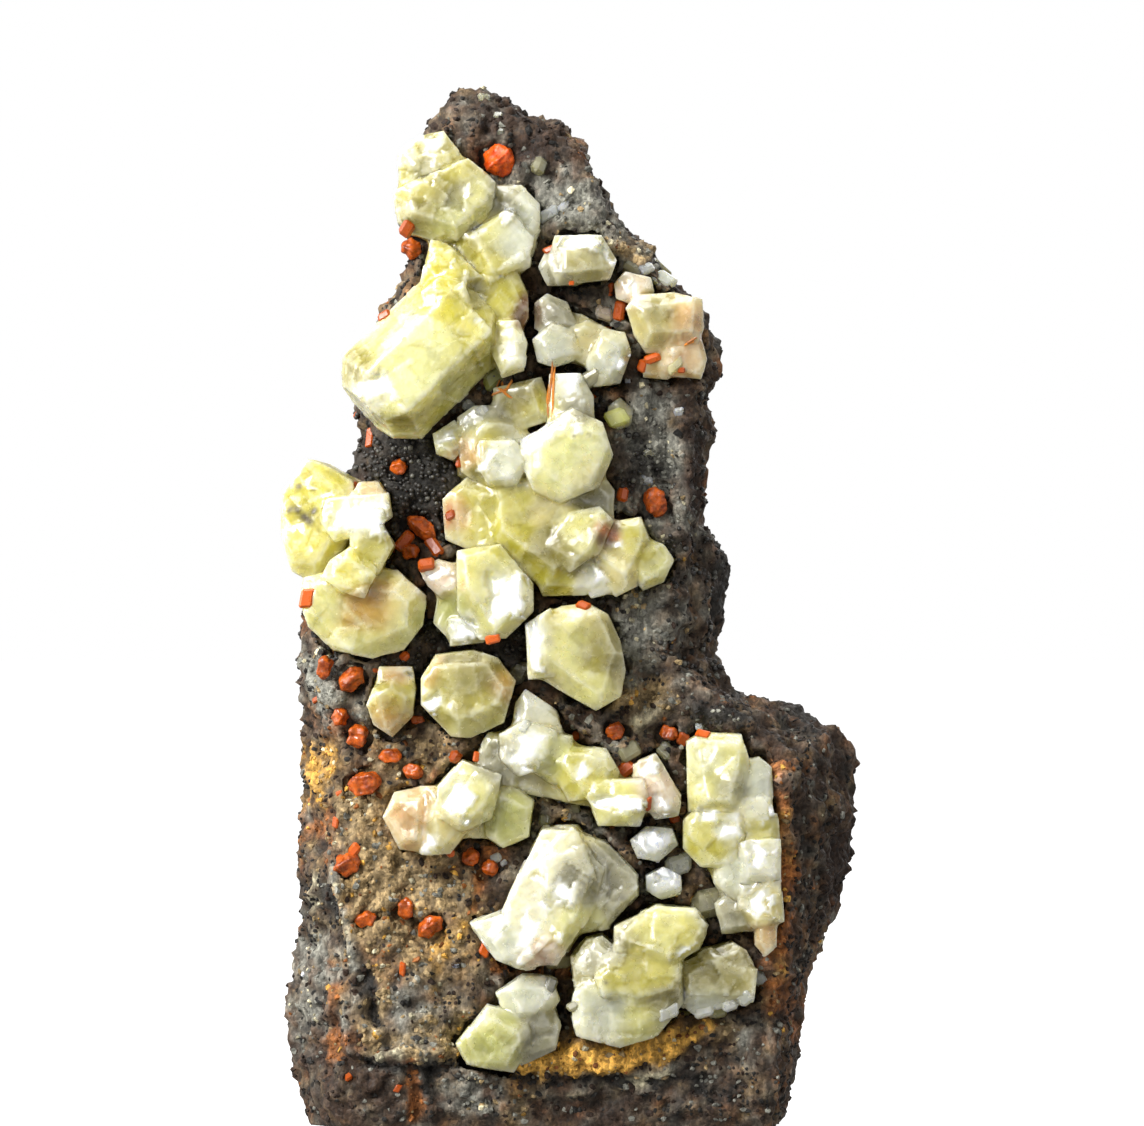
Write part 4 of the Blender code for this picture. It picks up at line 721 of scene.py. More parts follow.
# Patches of each kind of rock on the front: x, z, reach, strength
ROCK_PATCHES = {
    "dark": [
        (-2.2, 65.4, 2.2, 0.3), (-4.4, 67.6, 1.6, 0.3), (-2.0, 65.0, 2.5, 0.3), (-3.6, 67.4, 2.6, 0.4),
        (-14.0, 1.6, 3.0, 0.5), (2.0, 1.2, 2.4, 0.5),
    ],
    "black": [
        (0.3, 56.0, 2.5, 0.4), (-11.0, 44.5, 3.6, 1.0), (-9.5, 42.0, 3.0, 1.0), (-12.5, 43.5, 1.5, 0.6),
        (4.5, 43.0, 1.5, 0.7), (5.0, 36.0, 1.5, 0.4), (-9.0, 31.0, 3.0, 0.7), (-4.0, 32.0, 2.5, 0.7),
        (8.6, 26.4, 1.6, 0.5), (-13.8, 9.8, 1.0, 0.5), (-17.4, 14.6, 1.6, 0.6), (9.0, 2.0, 2.4, 0.5),
    ],
    "grey": [
        (-6.0, 67.0, 3.5, 0.2), (-1.0, 61.0, 4.0, 0.4), (2.6, 57.0, 3.4, 0.45), (-2.0, 61.5, 3.0, 0.5),
        (0.5, 61.5, 2.5, 0.5), (2.5, 59.0, 2.0, 0.5), (3.0, 54.0, 1.6, 0.5), (-12.5, 53.0, 1.5, 0.5),
        (5.5, 48.5, 2.0, 0.8), (5.0, 46.0, 3.0, 0.8), (6.5, 44.0, 2.6, 0.7), (5.5, 40.0, 3.0, 0.6),
        (4.6, 33.5, 3.4, 1.0), (3.4, 30.0, 2.0, 0.6), (7.8, 27.8, 2.0, 0.5), (2.4, 26.0, 1.8, 0.6),
        (-16.5, 30.5, 2.5, 0.6), (-13.0, 28.0, 3.0, 0.5), (-10.0, 9.0, 2.6, 0.5), (-16.8, 11.0, 2.2, 0.7),
        (-17.6, 8.0, 2.5, 0.6), (-10.8, 6.6, 2.4, 0.5), (-9.0, 3.0, 3.0, 0.45), (-6.0, 2.0, 2.6, 0.4),
        (11.6, 5.6, 1.6, 0.7), (1.2, 3.2, 1.8, 0.6), (6.0, 2.6, 2.2, 0.4), (1.0, 20.2, 2.0, 0.7),
        (-2.6, 20.4, 1.6, 0.6),
    ],
    "sand": [
        (4.2, 58.6, 1.4, 0.7), (-12.0, 55.0, 2.4, 0.5), (-12.0, 24.5, 3.0, 0.7), (-8.6, 25.6, 2.0, 0.6),
        (-14.0, 21.5, 3.0, 0.7), (-12.0, 18.0, 4.0, 0.9), (-13.5, 14.5, 3.4, 0.8), (-8.5, 15.5, 3.6, 0.8),
        (-12.0, 11.5, 3.0, 0.6), (-8.0, 11.0, 2.4, 0.6), (-12.8, 7.4, 1.8, 0.6), (-9.0, 6.4, 2.2, 1.0),
        (-12.8, 5.6, 1.4, 0.8), (-7.0, 5.6, 1.6, 0.8), (10.0, 6.8, 1.8, 0.6), (-3.0, 1.2, 2.0, 0.3),
        (7.6, 17.6, 1.2, 0.2), (-1.0, 20.2, 2.0, 0.5), (6.9, 19.4, 1.6, 0.7), (7.8, 15.6, 1.2, 0.5),
    ],
    "ochre": [
        (-9.5, 56.0, 1.4, 0.7), (6.0, 28.8, 1.8, 0.5), (4.2, 28.6, 1.2, 0.5), (-15.5, 29.0, 2.0, 0.35),
        (-16.0, 24.6, 2.0, 0.95), (-17.0, 22.4, 1.8, 0.8), (-13.0, 21.0, 4.0, 0.25),
        (-10.0, 13.0, 4.0, 0.35), (-14.4, 16.0, 1.8, 0.6), (-9.5, 18.0, 1.8, 0.5), (-7.6, 13.0, 2.2, 0.5),
        (-9.0, 11.6, 2.0, 0.5), (-15.6, 14.8, 1.0, 0.8), (-15.2, 8.6, 1.1, 0.9), (-8.0, 9.4, 1.4, 0.7),
        (-3.4, 4.6, 1.6, 1.2), (-1.4, 4.4, 1.7, 1.2), (0.6, 4.4, 1.7, 1.3), (2.6, 4.8, 1.8, 1.2),
        (4.6, 5.2, 1.6, 1.1), (6.4, 5.8, 1.6, 0.8), (8.0, 6.6, 2.0, 0.6),
    ],
    "rust": [
        (-7.5, 66.5, 1.5, 0.3), (1.2, 64.4, 1.6, 0.4), (-9.5, 39.6, 2.5, 0.3), (-16.2, 26.6, 1.6, 0.5),
        (-16.6, 20.2, 1.6, 0.7), (-11.0, 16.0, 4.0, 0.2), (-6.8, 17.6, 1.8, 0.5), (-11.2, 13.0, 2.0, 0.4),
        (-12.6, 11.0, 1.6, 0.6), (-14.8, 5.6, 1.3, 0.9), (-10.0, 1.6, 1.2, 0.6), (0.0, 2.2, 1.4, 0.5),
        (8.0, 15.4, 1.6, 0.2),
    ],
    "pale": [
        (-5.6, 68.6, 0.9, 0.7), (-0.6, 62.4, 1.4, 0.35), (-3.6, 65.6, 1.2, 0.3), (2.0, 60.4, 1.0, 0.4),
        (6.8, 47.2, 1.2, 0.3), (4.4, 27.4, 1.8, 0.8), (-16.4, 18.6, 1.4, 0.7), (-16.4, 15.4, 1.4, 0.6),
        (-11.6, 5.4, 1.6, 0.7), (-7.2, 8.4, 1.8, 0.35), (4.6, 3.6, 1.5, 0.5), (-1.4, 21.6, 2.2, 0.6),
    ],
}
# Patches on the flanks and the ledge, in the same view
FLANK_PATCHES = {
    "dark": [(16.4, 23.6, 2.6, 0.9), (17.4, 18.0, 3.0, 0.9)],
    "black": [
        (15.4, 26.6, 2.0, 0.6), (9.0, 36.0, 3.0, 0.9), (9.0, 52.0, 2.5, 0.5), (13.8, 4.0, 2.6, 0.4),
    ],
    "grey": [(-17.6, 28.6, 2.2, 0.6), (-17.8, 12.4, 2.6, 0.6), (-18.2, 7.4, 2.8, 0.55)],
    "ochre": [
        (14.5, 16.0, 1.0, 0.7), (14.2, 9.0, 1.4, 0.6), (-17.4, 24.6, 2.2, 0.75), (-17.2, 21.0, 2.2, 0.6),
    ],
    "rust": [
        (15.0, 20.0, 2.6, 0.5), (14.6, 14.0, 2.4, 0.55), (14.0, 10.0, 2.0, 0.6), (9.0, 44.0, 3.0, 0.2),
        (4.5, 60.5, 2.0, 0.4), (13.8, 23.6, 1.1, 0.6), (14.0, 21.5, 1.2, 0.8), (14.3, 18.6, 1.3, 0.9),
        (14.4, 12.6, 1.2, 0.8), (14.4, 6.6, 1.4, 0.8), (-17.6, 32.6, 1.8, 0.5), (-17.2, 19.0, 1.8, 0.6),
        (-18.0, 3.0, 2.2, 0.45),
    ],
    "pale": [(-17.4, 16.4, 1.8, 0.55)],
}

# Ridges and crevices of the rock's front: start, end, half width, rise, kind and strength
# The black lines with a negative rise are crevices, cut in and also painted black as their shadow
ROCK_LINES = [
    ((-13.4, 4.3), (-9.2, 3.6), 0.4, -0.7, "black", 1.1),
    ((-9.2, 3.6), (-7.6, 4.3), 0.4, -0.6, "black", 1.1),
    ((-7.6, 4.3), (-4.4, 3.8), 0.35, -0.6, "black", 1.0),
    ((-4.4, 3.8), (-2.6, 3.4), 0.35, -0.5, "black", 0.9),
    ((-14.9, 7.6), (-14.4, 5.2), 0.3, 0.4, "grey", 0.8),
    ((-14.4, 5.2), (-12.6, 4.6), 0.35, 0.5, "pale", 0.9),
    ((-12.6, 4.6), (-10.8, 5.0), 0.3, 0.4, "pale", 0.8),
    ((-10.8, 5.0), (-7.6, 5.0), 0.35, 0.4, "sand", 0.7),
    ((-16.7, 16.6), (-16.5, 11.6), 0.35, 0.3, "pale", 0.9),
    ((-15.7, 17.4), (-14.2, 10.6), 0.3, 0.45, "grey", 1.0),
    ((-14.2, 10.6), (-14.3, 7.2), 0.3, 0.4, "pale", 0.5),
    ((-16.2, 15.8), (-15.2, 12.4), 0.35, -0.4, "black", 0.9),
    ((-13.4, 10.4), (-12.8, 6.8), 0.35, -0.4, "black", 0.8),
    ((-15.6, 9.4), (-15.9, 5.0), 0.5, -0.2, "rust", 0.8),
    ((-15.9, 5.0), (-14.0, 2.6), 0.5, -0.2, "ochre", 0.5),
    ((-15.8, 4.4), (-14.2, 1.6), 0.3, 0.2, "pale", 0.7),
    ((-10.4, 4.4), (-10.2, 1.0), 0.45, -0.2, "rust", 0.9),
    ((-9.6, 3.2), (-9.3, 0.6), 0.35, 0.4, "black", 0.6),
    ((-1.0, 3.0), (9.0, 3.4), 0.35, -0.4, "black", 0.7),
    ((3.6, 3.0), (6.4, 3.6), 0.55, 0.3, "pale", 1.3),
    ((0.0, 2.2), (2.0, 2.8), 0.4, 0.2, "pale", 1.1),
    ((6.8, 1.4), (9.0, 1.8), 0.45, 0.3, "pale", 0.9),
    ((-3.6, 2.6), (-1.0, 2.2), 0.35, 0.3, "pale", 0.8),
    ((1.2, 61.2), (2.4, 59.0), 0.3, 0.3, "pale", 0.6),
    ((2.4, 59.0), (4.8, 57.6), 0.4, 0.2, "sand", 0.8),
    ((-5.4, 63.0), (-1.8, 64.4), 0.5, 0.3, "grey", 0.6),
    ((-4.6, 62.6), (-3.4, 63.0), 0.2, 0.2, "pale", 0.7),
    ((4.2, 45.4), (6.0, 43.6), 0.7, -0.6, "black", 0.8),
    ((6.6, 47.4), (7.2, 45.0), 0.5, 0.4, "sand", 0.6),
    ((7.6, 50.0), (8.2, 41.0), 0.5, 0.3, "dark", 0.8),
    ((1.0, 65.0), (4.2, 60.0), 0.5, 0.2, "dark", 0.8),
    ((4.2, 60.0), (8.4, 54.8), 0.45, 0.2, "dark", 0.8),
    ((-5.4, 18.6), (-6.4, 14.6), 0.4, -0.3, "rust", 0.8),
    ((-5.8, 13.2), (-4.8, 10.6), 0.5, -0.3, "rust", 0.9),
    ((-4.6, 10.6), (2.0, 10.2), 0.5, -0.3, "rust", 0.5),
    ((-17.0, 30.6), (-16.2, 27.8), 0.4, 0.4, "grey", 0.8),
    ((-17.2, 25.4), (-16.8, 22.6), 0.4, 0.3, "ochre", 0.7),
    ((3.6, 28.6), (6.2, 28.8), 0.9, 0.5, "sand", 1.1),
    ((4.4, 26.8), (6.4, 28.0), 0.5, 0.3, "pale", 0.8),
    ((-4.8, 4.0), (-1.0, 4.7), 0.5, 0.3, "ochre", 1.0),
    ((-1.0, 4.7), (3.0, 4.3), 0.55, 0.3, "ochre", 1.0),
    ((3.0, 4.3), (6.6, 5.3), 0.55, 0.3, "ochre", 1.1),
    ((6.6, 5.3), (9.6, 7.0), 0.5, 0.3, "ochre", 0.9),
    ((13.8, 24.6), (14.1, 17.0), 0.8, 0.2, "rust", 0.65),
    ((14.1, 17.0), (13.5, 8.0), 0.9, 0.2, "rust", 0.75),
    ((14.3, 21.0), (14.5, 18.0), 0.35, 0.2, "ochre", 1.0),
    ((13.9, 13.0), (13.5, 9.6), 0.35, 0.2, "ochre", 0.9),
    ((8.6, 27.8), (11.4, 27.0), 0.5, 0.4, "black", 1.0),
]


def spread(patches, points):
    """Strength of each kind of rock that the patches give each point."""
    given = {kind: np.zeros(len(points)) for kind in ROCK_KINDS}
    for kind, places in patches.items():
        for x, z, reach, strength in places:
            given[kind] += strength * in_patch(points, x, z, reach, ROCK_FALLOFF)
    return given


def in_front(points):
    """How much each point belongs to the rock's front rather than to its sides and back."""
    return 1 / (1 + np.exp((points[:, 1] - FRONT_Y - FRONT_DEPTH) * FRONT_FADE))


def rock_shares(points):
    """Share of each kind of rock at each point."""
    front = in_front(points)
    given = spread(ROCK_PATCHES, points)
    # Each line adds its kind; the black crevice lines add painted shadow
    for start, end, width, _, kind, strength in ROCK_LINES:
        given[kind] += strength * on_line(points, start, end, width)
    beside = spread(FLANK_PATCHES, points)
    weights = []
    for number, kind in enumerate(ROCK_KINDS):
        spots_from = Vector((17.3 * number, 3.1, 5.7 * number))
        wide_from = Vector((3.3 * number, 1.1, 0.0))
        drift = np.array([fractal(Vector(p) + spots_from, ZONE_SIZE, 5) for p in points])
        wide = np.array([noise.noise(Vector(p) / SIDE_SIZE + wide_from) for p in points])
        behind = (beside[kind] + SIDE_DRIFT * wide) * (1 - front)
        score = ROCK_BIAS[kind] + ZONE_DRIFT * drift + given[kind] * front + behind
        weights.append(np.exp(KIND_CONTRAST * score))
    weights = np.array(weights)
    return weights / weights.sum(axis=0)


# Turns the rock's relief off the axes, so that it shows no rows
ROCK_TURN = Matrix.Rotation(0.9, 3, Vector((1.0, 0.6, 0.35)).normalized())
# Height and size of each kind of relief on the rock
CRAGS, FOLDS, FLAKES, LUMPS, GRIT = (0.5, 3.2), (0.4, 1.4), (0.45, 0.9), (0.7, 0.95), (0.24, 0.42)
KNOBS = 0.3  # height of the rounded knobs of black rock
ROCK_RISE = 0.08  # how far the rock reaches past the solid on average
FOOT_HEIGHT, GROUND = 1.0, 0.12  # the relief fades below the first, and none is below the second
# Passes and height that count as a rock edge, and the strength of painted light on edges and shade in
# hollows
ROCK_PASSES, ROCK_EDGE, RELIEF_SHADING = 3, 0.14, 0.45


def rock_rise(points, shares):
    """How far each point of the rock moves along its normal."""
    kinds = list(ROCK_KINDS)
    black, sand, dark = (shares[kinds.index(k)] for k in ("black", "sand", "dark"))
    rise = np.empty(len(points))
    for i, p in enumerate(points):
        at = ROCK_TURN @ Vector(p)
        crags = CRAGS[0] * fractal(at, CRAGS[1], 5)
        folds = FOLDS[0] * (0.5 - abs(noise.noise(at / FOLDS[1] + Vector((4, 8, 1)))) * 2)
        chips = noise.voronoi(at / FLAKES[1])[0]
        flakes = FLAKES[0] * (chips[1] - chips[0] - 0.3)
        knobs = KNOBS * (0.5 - chips[0])
        lumps = LUMPS[0] * noise.noise(at / LUMPS[1] + Vector((7, 2, 5)))
        grit = GRIT[0] * noise.noise(at / GRIT[1])
        rise[i] = crags + folds + knobs * black[i] + grit + lumps * (0.4 + 0.6 * sand[i])
        rise[i] += flakes * dark[i]
    front = in_front(points)
    for start, end, width, height, *_ in ROCK_LINES:
        rise += front * height * on_line(points, start, end, width)
    return ROCK_RISE + rise


def grow_rock(material):
    """Replaces the rock's node by its fine broken surface."""
    mesh = grown_mesh("gossan_rock", ROCK, ROCK_GRAIN)
    points, normals = points_of(mesh)
    shares = rock_shares(points)
    foot = np.clip(points[:, 2] / FOOT_HEIGHT, 0.0, 1.0)
    moved = points + normals * (rock_rise(points, shares) * foot)[:, None]
    moved[:, 2] = np.maximum(moved[:, 2], 0.0)
    moved[points[:, 2] < GROUND, 2] = 0.0
    set_points(mesh, moved)
    colours = np.array(list(ROCK_KINDS.values()))
    relief = ridges(mesh, ROCK_PASSES, ROCK_EDGE)
    # Painted light and shade: the rock's colour is lighter on its edges and darker in its hollows
    paint(mesh, "zone", (shares.T @ colours) * (1 + RELIEF_SHADING * relief))
    return add_piece(mesh, material, ROCK)


def joined(name, chunks, material, smooth):
    """One piece of many small closed solids, each given as points, faces and a colour."""
    points, faces, colours = [], [], []
    for corners, sides, colour in chunks:
        first = len(points)
        points.extend(corners)
        faces.extend([first + i for i in side] for side in sides)
        colours.extend([colour] * len(corners))
    mesh = bpy.data.meshes.new(name)
    mesh.from_pydata(points, [], faces)
    paint(mesh, "zone", np.array(colours))
    return add_piece(mesh, material, smooth=smooth)


def faces_of(bm):
    """Faces of a mesh under construction, which is then freed, as lists of point numbers."""
    faces = [[v.index for v in face.verts] for face in bm.faces]
    bm.free()
    return faces


def unit_grain(subdivisions):
    """Points and faces of a round grain with radius 1."""
    bm = bmesh.new()
    bmesh.ops.create_icosphere(bm, subdivisions=subdivisions, radius=1.0)
    return np.array([v.co[:] for v in bm.verts]), faces_of(bm)


# Grains of each kind of rock: how many on a square millimetre in front and elsewhere, the
# smallest and the largest radius, and the kinds whose colour a few of them take
GRAINS = {
    "dark": (1.6, 0.38, 0.1, 0.3, ("black", "black", "grey")),
    "black": (4.6, 0.6, 0.13, 0.21, ("grey", "dark", "dark")),
    "grey": (3.2, 0.7, 0.1, 0.27, ("pale", "black", "sand")),
    "sand": (4.6, 1.0, 0.1, 0.28, ("pale", "grey", "rust", "ochre", "grey")),
    "ochre": (4.0, 1.0, 0.1, 0.26, ("rust", "sand", "pale")),
    "rust": (3.0, 0.8, 0.1, 0.26, ("ochre", "dark", "sand")),
    "pale": (3.4, 0.9, 0.1, 0.26, ("sand", "grey")),
}
STRANGER = 0.34  # share of grains that take the colour of another kind
GRAIN_TONE = (0.6, 1.25)  # darkest and lightest tone of a grain
GRAIN_POWER = 1.6  # power that makes small grains more common than large ones
# Least and most length, thickness and roughness of a rough grain, for its radius
CHIP_LENGTH, CHIP_DEPTH, CHIP_ROUGHNESS = (0.7, 1.5), (0.5, 1.0), (0.55, 1.3)
DRUSE_LIGHT = 0.9  # how much lighter than the rock the lightest black balls are
DRUSE_FOOT, DRUSE_TOP = 30.0, 51.0  # heights between which round balls cover the black rock
BALL_SHIFT, BALL_RISE = 0.14, 0.35  # how far a ball may lie aside, and its rise for its radius
ROUND_GRAIN = 0.155  # radius from which a black grain is a finely rounded ball
BARE_FOOT = 0.35  # height below which the rock has no grains
CLEARANCE = 0.06  # distance that grains keep from the crystals


def turned_axes(chance, normal):
    """Three axes of a grain that lies along the surface, turned at random."""
    upwards = Vector((chance.uniform(-1, 1), chance.uniform(-1, 1), 1.1))
    side = normal.cross(upwards).normalized()
    return np.array([side, normal.cross(side), normal])


def druse_ball(chance, at, normal, radius, colour, fine, coarse):
    """Points, faces and colour of a round grain of black rock."""
    points, faces = fine if radius > ROUND_GRAIN else coarse
    across, up = (chance.uniform(-BALL_SHIFT, BALL_SHIFT) for _ in range(2))
    middle = np.array(at + Vector((across, 0.0, up)) + normal * radius * BALL_RISE)
    lit = colour * DRUSE_LIGHT * chance.random() + np.array(ROCK_KINDS["black"])
    return points * radius + middle, faces, lit


def rough_chip(chance, at, axes, radius, colour, shape):
    """Points, faces and colour of a rough grain."""
    points, faces = shape
    stretch = np.array([chance.uniform(*CHIP_LENGTH), 1.0, chance.uniform(*CHIP_DEPTH)]) * radius
    rough = np.array([[chance.uniform(*CHIP_ROUGHNESS)] for _ in points])
    return (points * rough * stretch) @ axes + np.array(at), faces, colour


def scatter_grains(rock, crystals, material, shiny):
    """Covers the rock with grains of its own kinds and leaves the crystals clear."""
    chance = random.Random(SEED)
    faces = rock.data.polygons
    centres, facing = values_of(faces, "center") / MM, values_of(faces, "normal")
    areas = values_of(faces, "area", 1)[:, 0]
    front = in_front(centres)
    kinds, main = list(ROCK_KINDS), rock_shares(centres).argmax(axis=0)
    druse, grit = [], []
    round_grain, rough_grain = unit_grain(2), unit_grain(1)
    for i in np.flatnonzero(centres[:, 2] >= BARE_FOOT):
        kind = kinds[main[i]]
        dense, sparse, small, large, others = GRAINS[kind]
        wanted = (sparse + (dense - sparse) * front[i]) * areas[i] / MM**2
        if chance.random() > wanted:
            continue
        at, normal = Vector(centres[i]), Vector(facing[i])
        if crystals.find_nearest(at, CLEARANCE)[0] is not None:
            continue
        shade = kind if chance.random() > STRANGER else chance.choice(others)
        colour = np.array(ROCK_KINDS[shade]) * chance.uniform(*GRAIN_TONE)
        radius = small + (large - small) * chance.random() ** GRAIN_POWER
        axes = turned_axes(chance, normal)
        if kind == "black" and front[i] > 0.5 and DRUSE_FOOT < at.z < DRUSE_TOP:
            druse.append(druse_ball(chance, at, normal, radius, colour, round_grain, rough_grain))
        else:
            grit.append(rough_chip(chance, at, axes, radius, colour, rough_grain))
    joined("druse_grains", druse, shiny, True)
    joined("rock_grit", grit, material, False)


# Small crocoite crystals: x, z, length, width and the angle of the length
SMALL_CROCOITE = [
    (-10.8, 59.7, 1.1, 0.9, 60), (-12.3, 53.9, 0.9, 0.6, 30), (-13.3, 45.9, 1.3, 0.5, 85),
    (-14.2, 47.4, 0.5, 0.4, 60), (-1.3, 58.3, 0.9, 0.5, 20), (0.1, 56.1, 0.35, 0.3, 0),
    (2.7, 55.7, 0.9, 0.35, 85), (4.1, 56.9, 0.5, 0.4, 10), (3.3, 54.3, 1.3, 0.7, 80),
    (2.5, 53.2, 0.7, 0.5, 60), (5.5, 51.1, 1.1, 0.6, 20), (4.8, 50.6, 0.8, 0.6, 70),
    (7.4, 50.3, 0.5, 0.4, 0), (1.7, 48.6, 0.5, 0.4, 45), (-7.3, 44.3, 0.9, 0.5, 75),
    (-14.3, 42.7, 0.5, 0.4, 60), (-11.0, 39.0, 1.5, 0.8, 50), (-9.0, 38.6, 1.5, 0.8, -55),
    (-11.7, 38.3, 0.6, 0.6, 0), (-9.5, 37.4, 1.1, 0.8, 10), (-7.9, 40.7, 0.7, 0.6, 30),
    (3.5, 42.1, 1.0, 0.7, 80), (0.9, 34.7, 0.9, 0.6, -25), (-5.1, 32.5, 1.0, 0.6, 15),
    (-17.4, 35.2, 1.3, 0.9, 80), (-11.0, 31.3, 0.7, 0.6, 40), (-10.1, 27.1, 0.9, 0.5, 0),
    (-7.6, 24.7, 0.9, 0.8, 60), (-6.2, 24.7, 0.7, 0.4, 80), (-15.5, 20.3, 0.7, 0.5, 80),
    (-14.3, 18.5, 0.9, 0.7, 50), (-7.9, 18.3, 0.5, 0.5, 0), (-15.3, 22.2, 0.5, 0.4, 20),
    (-5.7, 11.8, 0.8, 0.7, 70), (-11.1, 10.6, 0.9, 0.4, 85), (-14.7, 3.4, 0.6, 0.5, 30),
    (-11.4, 2.7, 0.6, 0.4, 60), (0.5, 26.1, 0.7, 0.6, 20), (3.7, 23.8, 1.3, 0.9, 40),
    (5.2, 21.6, 0.9, 0.35, 85), (7.0, 20.5, 0.7, 0.5, 10), (8.8, 26.2, 0.9, 0.5, -15),
    (7.5, 25.9, 0.9, 0.8, 60), (-16.9, 28.4, 0.5, 0.4, 30), (-12.9, 30.4, 0.4, 0.3, 0),
]
# Thin crocoite needles: x, z, length and its angle
NEEDLES = [
    (-4.9, 49.2, 1.2, 70), (-4.5, 49.4, 1.3, 100), (-4.1, 49.2, 1.1, 60), (-4.6, 48.9, 1.2, 20),
    (-4.3, 48.8, 1.0, 140), (-1.3, 49.0, 3.4, 84), (-1.1, 48.8, 3.0, 88), (-1.5, 48.4, 2.2, 80),
    (8.1, 52.3, 0.8, 35), (7.9, 52.1, 0.7, 20), (5.0, 51.2, 0.8, 45),
]
NEEDLE_WIDTH = 0.16
PRISM_TINT, NEEDLE_TINT = srgb(192, 84, 18), srgb(206, 124, 40)
# Small pale crystals on the rock: x, z, length, width, the angle of the length and the tint
# Those with the glint tint are near-white sparkles, a painted highlight
SMALL_CERUSSITE = [
    (2.3, 54.3, 1.2, 0.9, -20, "pink"), (-1.9, 64.0, 1.2, 1.0, 70, "grey"),
    (-4.7, 66.2, 0.7, 0.6, 0, "grey"), (-1.4, 60.8, 1.5, 0.8, 30, "cool"),
    (-0.4, 61.3, 0.8, 0.6, 60, "white"), (4.2, 57.2, 1.6, 0.8, -30, "grey"),
    (6.3, 56.5, 1.4, 1.0, -35, "cool"), (5.2, 57.1, 1.0, 0.7, 20, "cool"),
    (6.1, 57.0, 1.9, 1.2, -35, "grey"), (-5.0, 49.9, 1.7, 1.2, 40, "green"),
    (2.0, 48.3, 0.9, 0.8, 20, "pink"), (3.0, 47.2, 1.5, 1.2, 20, "green"),
    (7.2, 47.6, 0.7, 0.6, 10, "white"), (5.2, 44.8, 0.8, 0.7, 30, "grey"),
    (5.2, 43.0, 0.9, 0.7, -10, "cool"), (3.8, 49.6, 0.4, 0.3, 0, "glint"),
    (7.0, 50.6, 1.2, 0.6, 40, "cream"), (4.1, 25.0, 1.5, 1.1, 30, "grey"),
    (8.6, 26.6, 0.5, 0.5, 0, "cool"), (7.2, 17.6, 1.8, 1.3, 20, "white"),
    (9.3, 14.6, 2.2, 1.9, 10, "grey"), (6.4, 25.2, 1.2, 1.0, -45, "grey"),
    (-2.3, 22.0, 1.1, 1.0, 0, "cool"), (-1.0, 21.8, 1.0, 0.9, 0, "cool"),
    (-1.7, 20.5, 0.9, 0.9, 0, "grey"), (0.4, 21.2, 0.7, 0.6, 0, "grey"),
    (-0.2, 20.6, 0.5, 0.5, 0, "white"), (-5.0, 17.9, 0.8, 0.6, 20, "cool"),
    (-4.4, 17.6, 0.6, 0.5, 50, "white"), (6.6, 7.8, 1.4, 0.9, 20, "white"),
    (7.7, 7.5, 1.5, 0.9, -10, "cream"), (8.9, 7.8, 1.3, 1.0, 15, "white"),
    (9.9, 7.9, 1.3, 0.9, 5, "cream"), (10.6, 8.2, 1.1, 0.9, 20, "white"),
    (11.6, 8.6, 1.1, 1.0, 40, "cool"), (12.6, 10.0, 1.0, 1.2, 0, "cool"),
    (-7.6, 10.8, 0.5, 0.3, 0, "glint"), (-17.8, 10.1, 0.4, 0.3, 60, "glint"),
    (-5.6, 68.6, 0.8, 0.6, 0, "grey"), (-4.8, 67.4, 0.6, 0.5, 0, "grey"),
    (-0.6, 11.0, 1.6, 0.8, 0, "grey"), (-1.2, 9.6, 1.2, 0.8, 70, "smoke"),
    (0.2, 8.2, 1.0, 0.7, 30, "grey"), (-3.6, 30.0, 1.6, 1.2, 60, "smoke"),
    (-3.0, 26.8, 0.9, 0.6, 60, "white"), (1.4, 49.8, 1.4, 1.0, 30, "grey"),
    (-6.6, 48.0, 0.9, 0.8, 0, "cool"), (-5.8, 47.7, 0.9, 0.7, 40, "white"),
]
PRISM_TONES = (0.55, 1.15)  # darkest and lightest tone of the small crocoites
CUT_EDGES = (0.16, 0.26)  # least and most size of the cut edges of a small crystal, for its width
THICKNESS = 0.9  # thickness of a small crystal, for its width
SLANT, ROLL = 0.25, 0.5  # the most that its ends slant, and that it rolls, in radians
UPRIGHT = 1.2  # how much more it faces the viewer than the rock below it does
SUNK = 0.25  # how deep a small pale crystal sits in the rock, for its width
FAR_FRONT = -50.0  # y in front of everything


def landed(surface, x, z):
    """Place on the surface that the front view shows at x and z, and the way that it faces."""
    return surface.ray_cast(Vector((x + OFFSET_X, FAR_FRONT, z)), Vector((0, 1, 0)))[:2]


def loose_crystal(at, out, length, width, degrees, chance):
    """Points and faces of a short prism with cut edges and slanted ends, lying on the rock."""
    bm = bmesh.new()
    bmesh.ops.create_cube(bm, size=1.0)
    slant = chance.uniform(-SLANT, SLANT)
    for v in bm.verts:
        v.co.x += slant * v.co.z
        v.co = Vector((v.co.x * length, v.co.y * width * THICKNESS, v.co.z * width))
    bmesh.ops.bevel(
        bm, geom=bm.edges[:], offset=width * chance.uniform(*CUT_EDGES), segments=1,
        affect="EDGES", clamp_overlap=True,
    )
    turn = Matrix.Rotation(-math.radians(degrees), 3, "Y")
    viewer = Vector((0, -1, 0))
    lean = viewer.rotation_difference((out + viewer * UPRIGHT).normalized())
    turned = lean.to_matrix() @ turn @ Matrix.Rotation(chance.uniform(-ROLL, ROLL), 3, "X")
    return [turned @ v.co + at for v in bm.verts], faces_of(bm)


